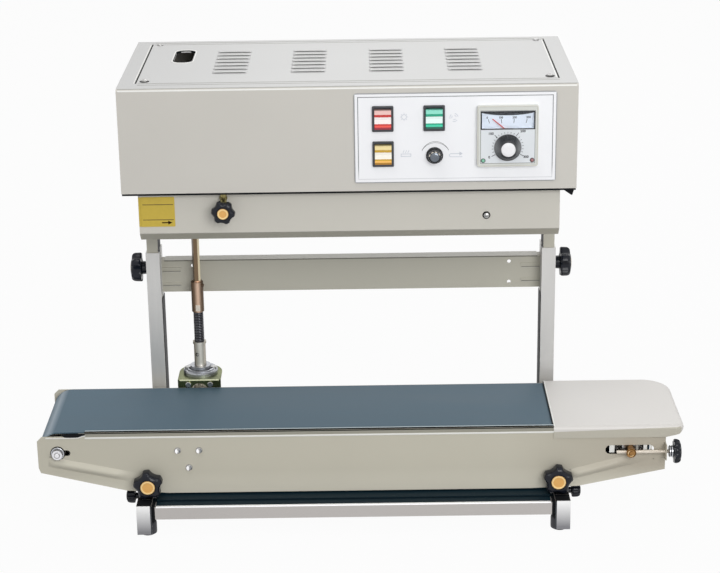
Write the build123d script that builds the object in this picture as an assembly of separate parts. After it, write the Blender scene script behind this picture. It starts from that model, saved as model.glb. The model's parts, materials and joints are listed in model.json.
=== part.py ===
from build123d import *

# Continuous band sealer for upright bags: a sealing head on two telescopic posts, over a
# belt conveyor that slides on a stainless base and is driven by a shaft from the head.
# Millimetres. X runs along the bag's travel, Y from front to back, Z up from the ground.
# While modelling, X = 0 is the middle of the head and Y = 0 is the head's front face.
import os
from math import acos, atan2, cos, pi, sin, sqrt, tan, radians, degrees, hypot

# ---------------------------------------------------------------- driving dimensions
# Clearances used everywhere
SLIDE_GAP = 0.3             # between flat or round faces that pass each other
RUN_GAP = 0.05              # radial, between a shaft and its bore
SHEET = 1.5                 # casing, cover and conveyor sheet

# Head casing
HEAD_WIDTH = 562.6
HEAD_DEPTH = 268.0
HEAD_HEIGHT = 132.8
HEAD_BOTTOM = 421.6         # height of the casing's underside above the ground
HEAD_BEND = 4.0             # bend radius along the front top edge
CHASSIS_SHEET = 2.0
LID_SIDE_MARGIN = 21.3      # casing left and right of the lid
LID_FRONT_MARGIN = 28.0
LID_BACK_MARGIN = 11.0
LID_SEAM = 0.7
LEDGE = 14.0                # width of the ledge that carries the lid
LID_SCREW = (4.2, 1.6, 2.0)         # head radius, head height, shank radius
LID_SCREW_INSET = (10.0, 11.0)      # from the lid's corners

# Inside the head
FAN_X = 60.0
FAN_Z = 490.0
FAN_SIZE = 60.0
FAN_THICK = 15.0
GLAND_X = 190.0
GLAND_Z = 460.0
GLAND_RADIUS = 6.0
GEARBOX_HALF = 40.0
SHAFT_IN_GEARBOX = 18.0
MOTOR_RADIUS = 28.0
MOTOR_LENGTH = 118.0
BOARD_X = 20.0              # board's left front corner
BOARD_Y = 150.0
BOARD_LENGTH = 140.0
BOARD_DEPTH = 80.0
BOARD_THICK = 1.6
PILLAR_HEIGHT = 10.0
PILLAR_INSET = 6.0
PILLAR_RADIUS = 3.5
TRANSFORMER = (50.0, 43.0, 42.4)
TRANSFORMER_INSET = 15.0
CAPACITOR = (11.0, 34.4)            # radius, height
CAPACITOR_PLACE = (95.0, 40.0)      # from the board's corner

# Lid openings
LOUVRE_COLUMNS = 4
LOUVRE_ROWS = 7
LOUVRE_LENGTH = 40.0
LOUVRE_WIDTH = 4.4
LOUVRE_PITCH_X = 98.3
LOUVRE_PITCH_Y = 19.4
LOUVRE_CENTRE_Y = 138.5
HAND_HOLE_LENGTH = 61.0
HAND_HOLE_WIDTH = 23.6
HAND_HOLE_RADIUS = 8.0
HAND_HOLE_X = -212.0
HAND_HOLE_Y = 175.0

# Control panel
PANEL_LEFT = 7.8
PANEL_RIGHT = 255.2
PANEL_LOW = 432.3
PANEL_HIGH = 545.3
PANEL_SHEET = 1.5
PANEL_RADIUS = 3.0
SWITCH_WIDTH = 26.2         # outside of a switch's bezel
SWITCH_HEIGHT = 32.0
BEZEL_DEPTH = 2.2
BEZEL_RIM = 2.6
SWITCH_WALL = 1.2
SWITCH_DEPTH = 22.0         # behind the panel
ROCKER_TILT = 7.0           # degrees each side of level
ROCKER_PIVOT_DEPTH = 4.0    # behind the panel's face
SWITCH_PLACES = {"red": (42.9, 513.6), "green": (105.6, 513.7), "amber": (43.0, 469.2)}
SPEED_KNOB_X = 106.0
SPEED_KNOB_Z = 466.5
SPEED_KNOB_DIAMETER = 21.0
SPEED_KNOB_LENGTH = 10.0
SPINDLE_RADIUS = 3.0

# Temperature controller
CONTROLLER_WIDTH = 74.6
CONTROLLER_HEIGHT = 76.6
CONTROLLER_X = 195.3
CONTROLLER_Z = 491.1
CONTROLLER_RIM = 6.0        # how far the bezel stands off the panel
CONTROLLER_BODY = 67.0
CONTROLLER_DEPTH = 44.0
METER_WIDTH = 64.0
METER_HEIGHT = 21.0
METER_Z = 511.0
METER_RECESS = 4.8
WINDOW_SHEET = 1.0
SCALE_SHEET = 0.5
NEEDLE_LENGTH = 24.5
NEEDLE_PIVOT_Z = 496.5
NEEDLE_SWING = 100.0        # degrees, end to end
DIAL_Z = 476.9
DIAL_DIAMETER = 33.5
DIAL_SKIRT = 4.0
DIAL_GRIP_DIAMETER = 21.0
DIAL_LENGTH = 12.5
LENS_RADIUS = 2.0
LENS_SPREAD = 30.0
LENS_Z = 460.5

# Lower cover and rear guard, either side of the bag's path
COVER_INSET = 19.3          # cover's ends inside the casing's
COVER_SETBACK = 8.4
COVER_LOW = 367.6           # where the front face turns under
COVER_CHAMFER = 11.6
COVER_SIDE_DEPTH = 42.0
COVER_FLANGE = 12.0
GUARD_CLEAR = 18.5          # from the drive bar's axis to the guard's end
GUARD_LOW = 362.0
GUARD_LIP = 10.0
LABEL_WIDTH = 42.5
LABEL_HEIGHT = 38.6
LABEL_INSET = 23.8          # from the cover's end to the label's middle
LABEL_Z = 395.8
LABEL_SHEET = 0.4
COVER_SCREW_X = 170.8
COVER_SCREW_Z = 385.7
COVER_SCREW = (3.4, 2.2, 2.0)
COVER_KNOB_X = -155.5
COVER_KNOB_Z = 399.5
LATCH_RADIUS = 4.0
LATCH_LENGTH = 30.0

# Sealing bands: two loops of PTFE band on upright wheels, meeting at the bag's mouth
SEAL_Y = 64.0               # plane of the bag's mouth
BAND_SPAN = 290.0           # between the wheels of one loop
BAND_WIDTH = 15.0
BAND_THICK = 0.5
BAND_LOW = 379.5
WHEEL_RADIUS = 25.2
WHEEL_HEIGHT = 18.0
WHEEL_SHAFT_RADIUS = 4.0
GEAR_TEETH = 30
GEAR_MODULE = 1.75
GEAR_WIDTH = 8.0
GEAR_BACKLASH = 0.25
BLOCK_LENGTH = 90.0
BLOCK_DEPTH = 13.0
BLOCK_HEIGHT = 14.0
BLOCK_SPREAD = 110.0        # heating to cooling block, centre to centre
PULLEY_RADIUS = 20.0
PULLEY_WIDTH = 9.0
TIMING_THICK = 2.0

# Driveline to the conveyor
DRIVE_X = -203.5
DRIVE_Y = 120.0
BAR_SIZE = 8.0              # square bar
BAR_TURN = 20.0             # degrees that the bar's flats stand off the X axis
BAR_GAP = 0.08
BAR_SPARE = 3.4             # bar above the hub when the head is at its highest
HUB_RADIUS = 10.0
SLEEVE_RADIUS = 8.1
SLEEVE_LOW = 223.0
SLEEVE_HIGH = 265.5
SLEEVE_SOCKET = 20.0
COIL_RADIUS = 6.75
COIL_BORE_RADIUS = 4.5
COIL_SEAT = 8.0
COUPLING_RADIUS = 7.8
COUPLING_LOW = 145.3
COUPLING_HIGH = 181.0
COLLAR_RADIUS = 8.8
COLLAR_HEIGHT = 3.0
BEVEL_TEETH = 16
BEVEL_PITCH = 14.0          # pitch radius at the outer end, and its distance to the apex
BEVEL_FACE = 0.42           # share of the cone's length that carries teeth
BEVEL_SHAFT = 5.0
BRACKET_TOP = 137.0
BRACKET_SHEET = 2.0
BRACKET_HALF = 28.5
BRACKET_ARCH = 11.0
BRACKET_BOLT_REACH = 14.5
FLANGE_RADIUS = 23.0
FLANGE_THICK = 5.0
FLANGE_HUB_RADIUS = 13.5
FLANGE_BOLT_REACH = 17.5

# Base
BASE_FRONT = -97.0
BASE_BACK = 270.0
BAR_CLEAR = 3.0             # side bar's lower edge above the ground
SIDE_BAR_HEIGHT = 39.0
SIDE_BAR_WIDTH = 19.0
SIDE_BAR_OUT = 272.5        # half the width over the side bars
SIDE_BAR_SHEET = 2.0
CROSS_BAR_HEIGHT = 17.0
CROSS_BAR_DEPTH = 16.0
CROSS_BAR_WALL = 1.5
FOOT_RADIUS = 10.0
FOOT_HEIGHT = 20.0
FOOT_NECK = 2.0
SPIGOT_LENGTH = 14.0

# Posts
POST_INSET = 12.5           # from a side bar's outer face to its post's middle
POST_WIDTH = 18.0
POST_DEPTH = 38.0
POST_FRONT = 116.0
POST_TOP = 306.0
POST_WALL = 1.5
POST_FRONT_LIP = 6.0
POST_BACK_LIP = 18.0
INNER_POST_HOLD = 20.0      # inner post below the clamp when the head is at its highest
BEAM_FRONT = 138.0
BEAM_DEPTH = 15.0
BEAM_LOW = 244.5
BEAM_HEIGHT = 44.0
BEAM_HOLE_SPREAD_X = 419.0
BEAM_HOLE_SPREAD_Z = 28.4
BEAM_HOLE_RADIUS = 2.5
BEAM_RIB_LENGTH = 26.0
BEAM_RIB_SPREAD = 21.6
LIFT_UP = 50.0              # travel of the head above its rest height

# Conveyor
BELT_FRONT = -54.0
BELT_WIDTH = 143.0
BELT_THICK = 1.5
ROLLER_RADIUS = 23.7
ROLLER_AXLE_RADIUS = 6.0
ROLLER_INSET = 3.0          # roller's ends inside the belt's edges
ROLLER_WALL = 3.0
END_ROLLER_X = -372.0
ROLLER_Z = 100.5
TENSION_X = 349.8
TENSION_Z = 95.5
TENSION_TRAVEL = 12.0
PLATE_FRONT = -61.0         # outer face of the front side plate
PLATE_BACK = 93.5           # outer face of the back side plate
PLATE_LEFT = -397.3
PLATE_RIGHT = 394.4
PLATE_TOP = 128.0
PLATE_END_TOP = 122.8
BACK_PLATE_TOP = 124.4      # lower than the belt, which hides it
PLATE_BOTTOM = 43.7
PLATE_END_BOTTOM = 73.7
PLATE_RIGHT_BOTTOM = 67.9
PLATE_LIP = 4.2             # bent lip along the top edge
PLATE_STEP = 61.0           # from the left end to where the top edge is at its full height
PLATE_LEFT_RISE = 110.0     # from each end to where the bottom edge turns up
PLATE_RIGHT_RISE = 109.0
EAR_REACH = 13.0            # tension screw's ear, in front of the plate
EAR_HALF = 10.0
DECK_LEFT = 253.0
DECK_RIGHT = 417.3
DECK_TOP = 128.2
DECK_SKIRT = 15.6
DECK_CORNER = 36.0
DECK_BEND = 5.0
BED_SHEET = 2.0
BED_RIGHT = 250.0
BED_NOSE = 3.0
DEPTH_FORWARD = 18.0        # travel of the conveyor on the base
DEPTH_BACK = 15.0
CARRIER_RADIUS = 23.0
CARRIER_THICK = 5.0
CARRIER_OFFSET = (-3.5, -6.0)       # the three bolts' centre, from the drive roller's axle
CARRIER_BOLT_CIRCLE = 15.6
CONVEYOR_BOLT = (3.8, 2.4, 2.0)
END_BOLT_RADIUS = 4.0
END_SLOT = 12.0
TRUNNION_RADIUS = 6.2
TRUNNION_REACH = 5.5
SCREW_STANDOFF = 7.0        # tension screw's axis in front of the plate
SCREW_LENGTH = 62.4

# Carriage under the conveyor
CHANNEL_LOW = 25.2
CHANNEL_HEIGHT = 18.8
CHANNEL_DEPTH = 20.0
EAR_SHEET = 3.0
EAR_LENGTH = 30.0
EAR_PAD_SHEET = 3.0
CLAMP_Y = -45.0
CLAMP_Z = 33.0
CLAMP_LENGTH = 20.0

# Hand knobs: (diameter, thickness, cap diameter, stud radius)
CARRIAGE_KNOB = (38.0, 16.0, 18.0, 4.0)
CARRIAGE_KNOB_Z = 61.0
CARRIAGE_KNOB_INSET = 14.1  # from a side bar's outer face to the knob's axis
COVER_KNOB = (30.0, 12.0, 13.6, 2.5)
POST_KNOB = (40.0, 14.0, 18.0, 4.0)
SIDE_KNOB = (16.0, 11.0, 8.0, 3.0)
TENSION_KNOB = (31.0, 12.0, 12.0, 2.4)
POST_KNOB_Z = 280.0
POST_BOSS_LENGTH = 5.0
KNOB_HUB = 6.0

# ---------------------------------------------------------------- derived places
HEAD_TOP = HEAD_BOTTOM + HEAD_HEIGHT
HALF_HEAD = HEAD_WIDTH / 2
HALF_COVER = HALF_HEAD - COVER_INSET
LABEL_X = LABEL_INSET - HALF_COVER
LID_X = HALF_HEAD - LID_SIDE_MARGIN
LID_FRONT = LID_FRONT_MARGIN
LID_BACK = HEAD_DEPTH - LID_BACK_MARGIN
CHASSIS_TOP = HEAD_BOTTOM + CHASSIS_SHEET
PANEL_FRONT = -PANEL_SHEET
POST_X = SIDE_BAR_OUT - POST_INSET
POST_BACK = POST_FRONT + POST_DEPTH
POST_MIDDLE_Y = (POST_FRONT + POST_BACK) / 2
SIDE_BAR_TOP = BAR_CLEAR + SIDE_BAR_HEIGHT
SIDE_BAR_IN = SIDE_BAR_OUT - SIDE_BAR_WIDTH
BELT_BACK = BELT_FRONT + BELT_WIDTH
BELT_INNER = ROLLER_RADIUS + SLIDE_GAP
BED_TOP = ROLLER_Z + BELT_INNER
WHEEL_CENTRE = GEAR_TEETH * GEAR_MODULE / 2      # from the seal plane to a wheel's axis
BAND_INNER = WHEEL_RADIUS + SLIDE_GAP
WHEEL_LOW = BAND_LOW - (WHEEL_HEIGHT - BAND_WIDTH) / 2
GEAR_LOW = CHASSIS_TOP + 3.0
PULLEY_LOW = GEAR_LOW + GEAR_WIDTH + 3.0
DRIVE_WHEEL_X = BAND_SPAN / 2
FRONT_WHEEL_Y = SEAL_Y - WHEEL_CENTRE
REAR_WHEEL_Y = SEAL_Y + WHEEL_CENTRE
BEAM_HIGH = BEAM_LOW + BEAM_HEIGHT
BEAM_MIDDLE = (BEAM_LOW + BEAM_HIGH) / 2
CARRIAGE_KNOB_X = SIDE_BAR_OUT - CARRIAGE_KNOB_INSET
EAR_IN = SIDE_BAR_IN - SLIDE_GAP - EAR_SHEET     # inner face of a carriage web
EAR_FRONT = PLATE_FRONT + SHEET                  # the ears stand against the side plates
EAR_REAR = PLATE_BACK - SHEET
GEARBOX_LOW = PULLEY_LOW + PULLEY_WIDTH + 4.0
BAR_TOP = PULLEY_LOW + PULLEY_WIDTH + LIFT_UP + BAR_SPARE
INNER_POST_LOW = POST_KNOB_Z - LIFT_UP - INNER_POST_HOLD
ROCKER_PIVOT_Y = PANEL_FRONT + ROCKER_PIVOT_DEPTH
TENSION_ROD_Y = PLATE_FRONT - SCREW_STANDOFF
CARRIER_X = DRIVE_X + CARRIER_OFFSET[0]
CARRIER_Z = ROLLER_Z + CARRIER_OFFSET[1]
BRACKET_LOW = BED_TOP + 1.5
BRACKET_BOLT_Z = (BRACKET_LOW + BRACKET_TOP - BRACKET_SHEET) / 2


# ---------------------------------------------------------------- helpers
def block(x, y, z):
    """A box from its low and high coordinate on each axis."""
    low = Vector(x[0], y[0], z[0])
    size = Vector(x[1] - x[0], y[1] - y[0], z[1] - z[0])
    return Pos(low + size * 0.5) * Box(size.X, size.Y, size.Z)


def post(x, y, radius, low, high):
    """An upright cylinder."""
    return Pos(x, y, (low + high) / 2) * Cylinder(radius, high - low)


def rod_y(x, z, radius, low, high):
    """A cylinder along Y."""
    return Pos(x, (low + high) / 2, z) * Rot(90, 0, 0) * Cylinder(radius, high - low)


def rod_x(y, z, radius, low, high):
    """A cylinder along X."""
    return Pos((low + high) / 2, y, z) * Rot(0, 90, 0) * Cylinder(radius, high - low)


def prism_y(outline, low, high):
    """An outline of (x, z) points carried along Y."""
    face = make_face(Plane.XZ * Polyline(*outline, close=True))
    return Pos(0, high, 0) * extrude(face, amount=high - low, dir=(0, -1, 0))


def prism_x(outline, low, high):
    """An outline of (y, z) points carried along X."""
    face = make_face(Plane.YZ * Polyline(*outline, close=True))
    return Pos(low, 0, 0) * extrude(face, amount=high - low, dir=(1, 0, 0))


def flip(shape):
    """The same piece on the other side of the machine."""
    return mirror(shape, about=Plane.YZ)


def both_sides(shape):
    return [shape, flip(shape)]


def rounded_plate_y(x, z, y, radius):
    """A plate across Y with rounded corners."""
    face = Rectangle(x[1] - x[0], z[1] - z[0])
    plate = extrude(fillet(face.vertices(), radius), amount=y[1] - y[0])
    return Pos((x[0] + x[1]) / 2, y[1], (z[0] + z[1]) / 2) * Rot(90, 0, 0) * plate


def screw_y(x, z, y, head_radius, head_height, shank_radius, length):
    """A pan screw whose head stands in front of the face at y, with its shank going back."""
    head = rod_y(x, z, head_radius, y - head_height, y)
    head = chamfer(head.faces().sort_by(Axis.Y)[0].edges(), head_height * 0.3)
    return head + rod_y(x, z, shank_radius, y, y + length)


def hull_of_circles(circles):
    """The outline that a belt makes round circles (x, y, radius), listed anticlockwise."""
    touches = []
    for here, there in zip(circles, circles[1:] + circles[:1]):
        run = (there[0] - here[0], there[1] - here[1])
        normal = atan2(run[1], run[0]) - acos((here[2] - there[2]) / hypot(*run))
        direction = (cos(normal), sin(normal))
        touches.append([(c[0] + c[2] * direction[0], c[1] + c[2] * direction[1]) for c in (here, there)])
    edges = []
    for number, (start, end) in enumerate(touches):
        edges.append(Line(start, end))
        x, y, radius = circles[(number + 1) % len(circles)]
        after = touches[(number + 1) % len(circles)][0]
        first = atan2(end[1] - y, end[0] - x)
        sweep = (atan2(after[1] - y, after[0] - x) - first) % (2 * pi)
        middle = (x + radius * cos(first + sweep / 2), y + radius * sin(first + sweep / 2))
        edges.append(ThreePointArc(end, middle, after))
    return make_face(edges)


def loop(circles, thick):
    """A belt's cross-section: the band of the given thickness outside the circles."""
    wider = [(x, y, radius + thick) for x, y, radius in circles]
    return hull_of_circles(wider) - hull_of_circles(circles)


def gear_outline(teeth, module, backlash, turn=0.0):
    """An involute gear's outline, with 20 degree teeth thinned by the backlash."""
    pressure = radians(20)
    pitch = teeth * module / 2
    base = pitch * cos(pressure)
    root = pitch - 1.25 * module
    outer = pitch + 0.95 * module
    half_tooth = (pi * module / 2 - backlash) / 2 / pitch
    involute = lambda radius: tan(acos(base / radius)) - acos(base / radius)
    steps = 4
    start = max(base * 1.0005, root)
    radii = [start + (outer - start) * step / steps for step in range(steps + 1)]
    flank = [(radius, half_tooth + involute(pitch) - involute(radius)) for radius in radii]
    tooth = [(root, flank[0][1])] + flank
    points = []
    for number in range(teeth):
        middle = radians(turn) + 2 * pi * number / teeth
        points += [(radius, middle - angle) for radius, angle in tooth]
        points += [(radius, middle + angle) for radius, angle in reversed(tooth)]
    return make_face(Polyline(*[(r * cos(a), r * sin(a)) for r, a in points], close=True))


def knob(size, lobes):
    """A hand knob with its stud, its face towards +Z and its hub's foot at the origin.

    Three solids: the moulded grip, the cap pressed into its face and the steel stud.
    """
    diameter, thick, cap_diameter, _ = size
    lobe = diameter * 0.2
    reach = diameter / 2 - lobe
    outline = Circle(diameter * 0.34)
    for number in range(lobes):
        angle = 2 * pi * (number + 0.25) / lobes
        outline += Pos(reach * cos(angle), reach * sin(angle)) * Circle(lobe)
    grip = extrude(outline, amount=thick - 2)
    grip = Pos(0, 0, KNOB_HUB) * grip
    grip += Pos(0, 0, KNOB_HUB / 2) * Cylinder(diameter * 0.22, KNOB_HUB)
    crown = Cylinder(cap_diameter / 2 + 1.2, 2)
    grip += Pos(0, 0, KNOB_HUB + thick - 1) * crown
    seat = Pos(0, 0, KNOB_HUB + thick - 1) * Cylinder(cap_diameter / 2, 2)
    cap = Pos(0, 0, KNOB_HUB + thick - 0.8) * Cylinder(cap_diameter / 2, 2.4)
    return grip - seat, cap


def stud(size, length, embed):
    """A knob's threaded stud, from inside the grip to its tip behind the hub."""
    return Pos(0, 0, (embed - length) / 2) * Cylinder(size[3], length + embed)


def knob_set(size, lobes, length):
    """The grip, cap and stud as a group, facing +Z."""
    grip, cap = knob(size, lobes)
    embed = KNOB_HUB + size[1] * 0.5
    pin = stud(size, length, embed)
    return [grip - pin, cap, pin]


# ---------------------------------------------------------------- base and posts
def base_bars():
    """Two side bars, folded from stainless sheet and open below, and two cross tubes."""
    top = SIDE_BAR_TOP
    length = (BASE_FRONT, BASE_BACK)
    wall = block((-SIDE_BAR_OUT, -SIDE_BAR_OUT + SIDE_BAR_SHEET), length, (BAR_CLEAR, top))
    flange = block((-SIDE_BAR_OUT, -SIDE_BAR_IN), length, (top - SIDE_BAR_SHEET, top))
    bar = wall + flange
    for y in (BASE_FRONT, BASE_BACK - SIDE_BAR_SHEET):
        bar += block((-SIDE_BAR_OUT, -SIDE_BAR_IN), (y, y + SIDE_BAR_SHEET), (BAR_CLEAR, top))
    slot_low = CLAMP_Y - DEPTH_FORWARD
    slot_high = CLAMP_Y + DEPTH_BACK
    slot_radius = SIDE_KNOB[3] + SLIDE_GAP
    slot = block((-SIDE_BAR_OUT - 1, -SIDE_BAR_OUT + SIDE_BAR_SHEET + 1), (slot_low, slot_high),
                 (CLAMP_Z - slot_radius, CLAMP_Z + slot_radius))
    for y in (slot_low, slot_high):
        slot += rod_x(y, CLAMP_Z, slot_radius, -SIDE_BAR_OUT - 1, -SIDE_BAR_OUT + SIDE_BAR_SHEET + 1)
    bar -= slot
    pieces = both_sides(bar)
    low, high = cross_bar_height()
    for front, back in cross_bar_depths():
        tube = block((-foot_inner(), foot_inner()), (front, back), (low, high))
        hollow = block((-foot_inner() - 1, foot_inner() + 1),
                       (front + CROSS_BAR_WALL, back - CROSS_BAR_WALL),
                       (low + CROSS_BAR_WALL, high - CROSS_BAR_WALL))
        pieces.append(tube - hollow)
    return pieces


def cross_bar_height():
    high = SIDE_BAR_TOP - SIDE_BAR_SHEET - 0.5
    return high - CROSS_BAR_HEIGHT, high


def cross_bar_depths():
    """Front and back faces of the two cross bars."""
    front = BASE_FRONT + SIDE_BAR_SHEET + 1.0
    back = BASE_BACK - SIDE_BAR_SHEET - 1.0
    return (front, front + CROSS_BAR_DEPTH), (back - CROSS_BAR_DEPTH, back)


def foot_inner():
    """Half the length of the cross bars, which stop at the feet."""
    return SIDE_BAR_IN - 4.0


def base_feet():
    """Moulded corner feet: a block inside the side bar, a spigot in the cross bar and a round pad."""
    low, high = cross_bar_height()
    outer = -SIDE_BAR_OUT + SIDE_BAR_SHEET
    pieces = []
    for front, back in cross_bar_depths():
        middle = (front + back) / 2
        height = (FOOT_HEIGHT + FOOT_NECK, SIDE_BAR_TOP - SIDE_BAR_SHEET)
        foot = block((outer, -foot_inner()), (front, back), height)
        gap = CROSS_BAR_WALL + SLIDE_GAP / 2
        foot += block((-foot_inner(), -foot_inner() + SPIGOT_LENGTH), (front + gap, back - gap),
                      (low + gap, high - gap))
        x = outer + FOOT_RADIUS + 0.5
        y = max(middle, BASE_FRONT + SIDE_BAR_SHEET + FOOT_RADIUS + 0.5) if middle < 0 else \
            min(middle, BASE_BACK - SIDE_BAR_SHEET - FOOT_RADIUS - 0.5)
        pad = post(x, y, FOOT_RADIUS, 0, FOOT_HEIGHT)
        pad = fillet(pad.faces().sort_by(Axis.Z)[0].edges(), 2.0)
        foot += pad + post(x, y, FOOT_RADIUS * 0.7, FOOT_HEIGHT, FOOT_HEIGHT + FOOT_NECK)
        pieces += both_sides(foot)
    return pieces


def outer_posts():
    """Stainless channels welded on the side bars, open towards each other, with a boss for the clamp knob."""
    x = (-POST_X - POST_WIDTH / 2, -POST_X + POST_WIDTH / 2)
    y = (POST_FRONT, POST_BACK)
    z = (SIDE_BAR_TOP, POST_TOP)
    channel = block(x, y, z)
    channel -= block((x[0] + POST_WALL, x[1] - POST_WALL), (y[0] + POST_WALL, y[1] - POST_WALL), z)
    channel -= block((x[1] - POST_WALL - 1, x[1] + 1), (y[0] + POST_FRONT_LIP, y[1] - POST_BACK_LIP), z)
    channel += rod_x(POST_MIDDLE_Y, POST_KNOB_Z, POST_KNOB[3] + 3, x[0] - POST_BOSS_LENGTH, x[0] + POST_WALL)
    channel -= rod_x(POST_MIDDLE_Y, POST_KNOB_Z, POST_KNOB[3] + RUN_GAP, x[0] - POST_BOSS_LENGTH - 1,
                     x[0] + POST_WALL + 1)
    return both_sides(channel)


def inner_posts():
    """Painted tubes under the head that slide in the outer posts."""
    gap = POST_WALL + SLIDE_GAP
    x = (-POST_X - POST_WIDTH / 2 + gap, -POST_X + POST_WIDTH / 2 - gap)
    y = (POST_FRONT + gap, POST_BACK - gap)
    z = (INNER_POST_LOW, HEAD_BOTTOM)
    tube = block(x, y, z)
    tube -= block((x[0] + SHEET, x[1] - SHEET), (y[0] + SHEET, y[1] - SHEET), z)
    return both_sides(tube)


def cross_beam():
    """A channel between the posts' back lips, with two pairs of bolt holes and pressed ribs."""
    half = POST_X - POST_WIDTH / 2
    y = (BEAM_FRONT, BEAM_FRONT + BEAM_DEPTH)
    beam = block((-half, half), y, (BEAM_LOW, BEAM_HIGH))
    beam -= block((-half - 1, half + 1), (y[0] + SHEET, y[1] + 1), (BEAM_LOW + SHEET, BEAM_HIGH - SHEET))
    for side in (-1, 1):
        for level in (-1, 1):
            z = BEAM_MIDDLE + level * BEAM_RIB_SPREAD / 2
            end = side * (half - BEAM_RIB_LENGTH)
            rib = block(sorted((end, side * half)), (y[0] - 0.9, y[0]), (z - 1.3, z + 1.3))
            beam += rib
            hole_z = BEAM_MIDDLE + level * BEAM_HOLE_SPREAD_Z / 2
            beam -= rod_y(side * BEAM_HOLE_SPREAD_X / 2, hole_z, BEAM_HOLE_RADIUS, y[0] - 1, y[0] + SHEET + 1)
    return [beam]


# ---------------------------------------------------------------- head: casing and chassis
def head_casing():
    """Folded sheet: front, sides and back in one, with the lid's ledge let in at the top."""
    outside = block((-HALF_HEAD, HALF_HEAD), (0, HEAD_DEPTH), (HEAD_BOTTOM, HEAD_TOP))
    front_top = outside.edges().filter_by(Axis.X).sort_by(Axis.Z)[-2:].sort_by(Axis.Y)[0]
    outside = fillet(front_top, HEAD_BEND)
    inside = block((-HALF_HEAD + SHEET, HALF_HEAD - SHEET), (SHEET, HEAD_DEPTH - SHEET),
                   (HEAD_BOTTOM - 1, HEAD_TOP - SHEET))
    bend = inside.edges().filter_by(Axis.X).sort_by(Axis.Z)[-2:].sort_by(Axis.Y)[0]
    inside = fillet(bend, HEAD_BEND - SHEET)
    shell = outside - inside
    opening = block((-LID_X - LID_SEAM, LID_X + LID_SEAM), (LID_FRONT - LID_SEAM, LID_BACK + LID_SEAM),
                    (HEAD_TOP - SHEET, HEAD_TOP))
    well = block((-LID_X + LEDGE, LID_X - LEDGE), (LID_FRONT + LEDGE, LID_BACK - LEDGE),
                 (HEAD_TOP - 2 * SHEET, HEAD_TOP - SHEET))
    rim = block((-LID_X - LEDGE, LID_X + LEDGE), (LID_FRONT - LEDGE, LID_BACK + LEDGE / 2),
                (HEAD_TOP - 2 * SHEET, HEAD_TOP - SHEET))
    shell = shell - opening + (rim - well)
    for x, z in SWITCH_PLACES.values():
        shell -= switch_hole(x, z, -1, SHEET + 1)
    shell -= rod_y(SPEED_KNOB_X, SPEED_KNOB_Z, SPINDLE_RADIUS + 1, -1, SHEET + 1)
    shell -= controller_hole(-1, SHEET + 1)
    for x, y in lid_screw_places():
        shell -= post(x, y, LID_SCREW[2] + RUN_GAP, HEAD_TOP - 3 * SHEET, HEAD_TOP)
    shell -= rod_y(GLAND_X, GLAND_Z, GLAND_RADIUS + RUN_GAP, HEAD_DEPTH - SHEET - 1, HEAD_DEPTH + 1)
    shell -= fan_grille(HEAD_DEPTH - SHEET - 1, HEAD_DEPTH + 1)
    return [shell]


def lid_screw_places():
    x, y = LID_X - LID_SCREW_INSET[0], LID_SCREW_INSET[1]
    return [(-x, LID_FRONT + y), (x, LID_FRONT + y), (-x, LID_BACK - y), (x, LID_BACK - y)]


def switch_hole(x, z, low, high):
    width = SWITCH_WIDTH - 2 * BEZEL_RIM + 2 * SWITCH_WALL
    height = SWITCH_HEIGHT - 2 * BEZEL_RIM + 2 * SWITCH_WALL
    return block((x - width / 2, x + width / 2), (low, high), (z - height / 2, z + height / 2))


def controller_hole(low, high):
    half = CONTROLLER_BODY / 2
    return block((CONTROLLER_X - half, CONTROLLER_X + half), (low, high),
                 (CONTROLLER_Z - half, CONTROLLER_Z + half))


def fan_grille(low, high):
    """Rings of small round holes in the back, over the fan."""
    holes = [rod_y(FAN_X, FAN_Z, 2.2, low, high)]
    for ring, count in ((9, 6), (17, 12), (25, 18)):
        for number in range(count):
            angle = 2 * pi * number / count
            holes.append(rod_y(FAN_X + ring * cos(angle), FAN_Z + ring * sin(angle), 2.2, low, high))
    return holes


def top_lid():
    """The lid, flush with the casing, with louvres and a hand hole."""
    lid = block((-LID_X, LID_X), (LID_FRONT, LID_BACK), (HEAD_TOP - SHEET, HEAD_TOP))
    slot = extrude(SlotOverall(LOUVRE_LENGTH, LOUVRE_WIDTH), amount=2 * SHEET, both=True)
    slot = Pos(0, 0, HEAD_TOP) * slot
    slots = []
    for column in range(LOUVRE_COLUMNS):
        x = (column - (LOUVRE_COLUMNS - 1) / 2) * LOUVRE_PITCH_X
        for row in range(LOUVRE_ROWS):
            y = LOUVRE_CENTRE_Y + (row - (LOUVRE_ROWS - 1) / 2) * LOUVRE_PITCH_Y
            slots.append(Pos(x, y, 0) * slot)
    lid -= slots
    hand = RectangleRounded(HAND_HOLE_WIDTH, HAND_HOLE_LENGTH, HAND_HOLE_RADIUS)
    lid -= Pos(HAND_HOLE_X, HAND_HOLE_Y, HEAD_TOP) * extrude(hand, amount=2 * SHEET, both=True)
    for x, y in lid_screw_places():
        lid -= post(x, y, LID_SCREW[2] + RUN_GAP, HEAD_TOP - 2 * SHEET, HEAD_TOP + 1)
    return [lid]


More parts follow.
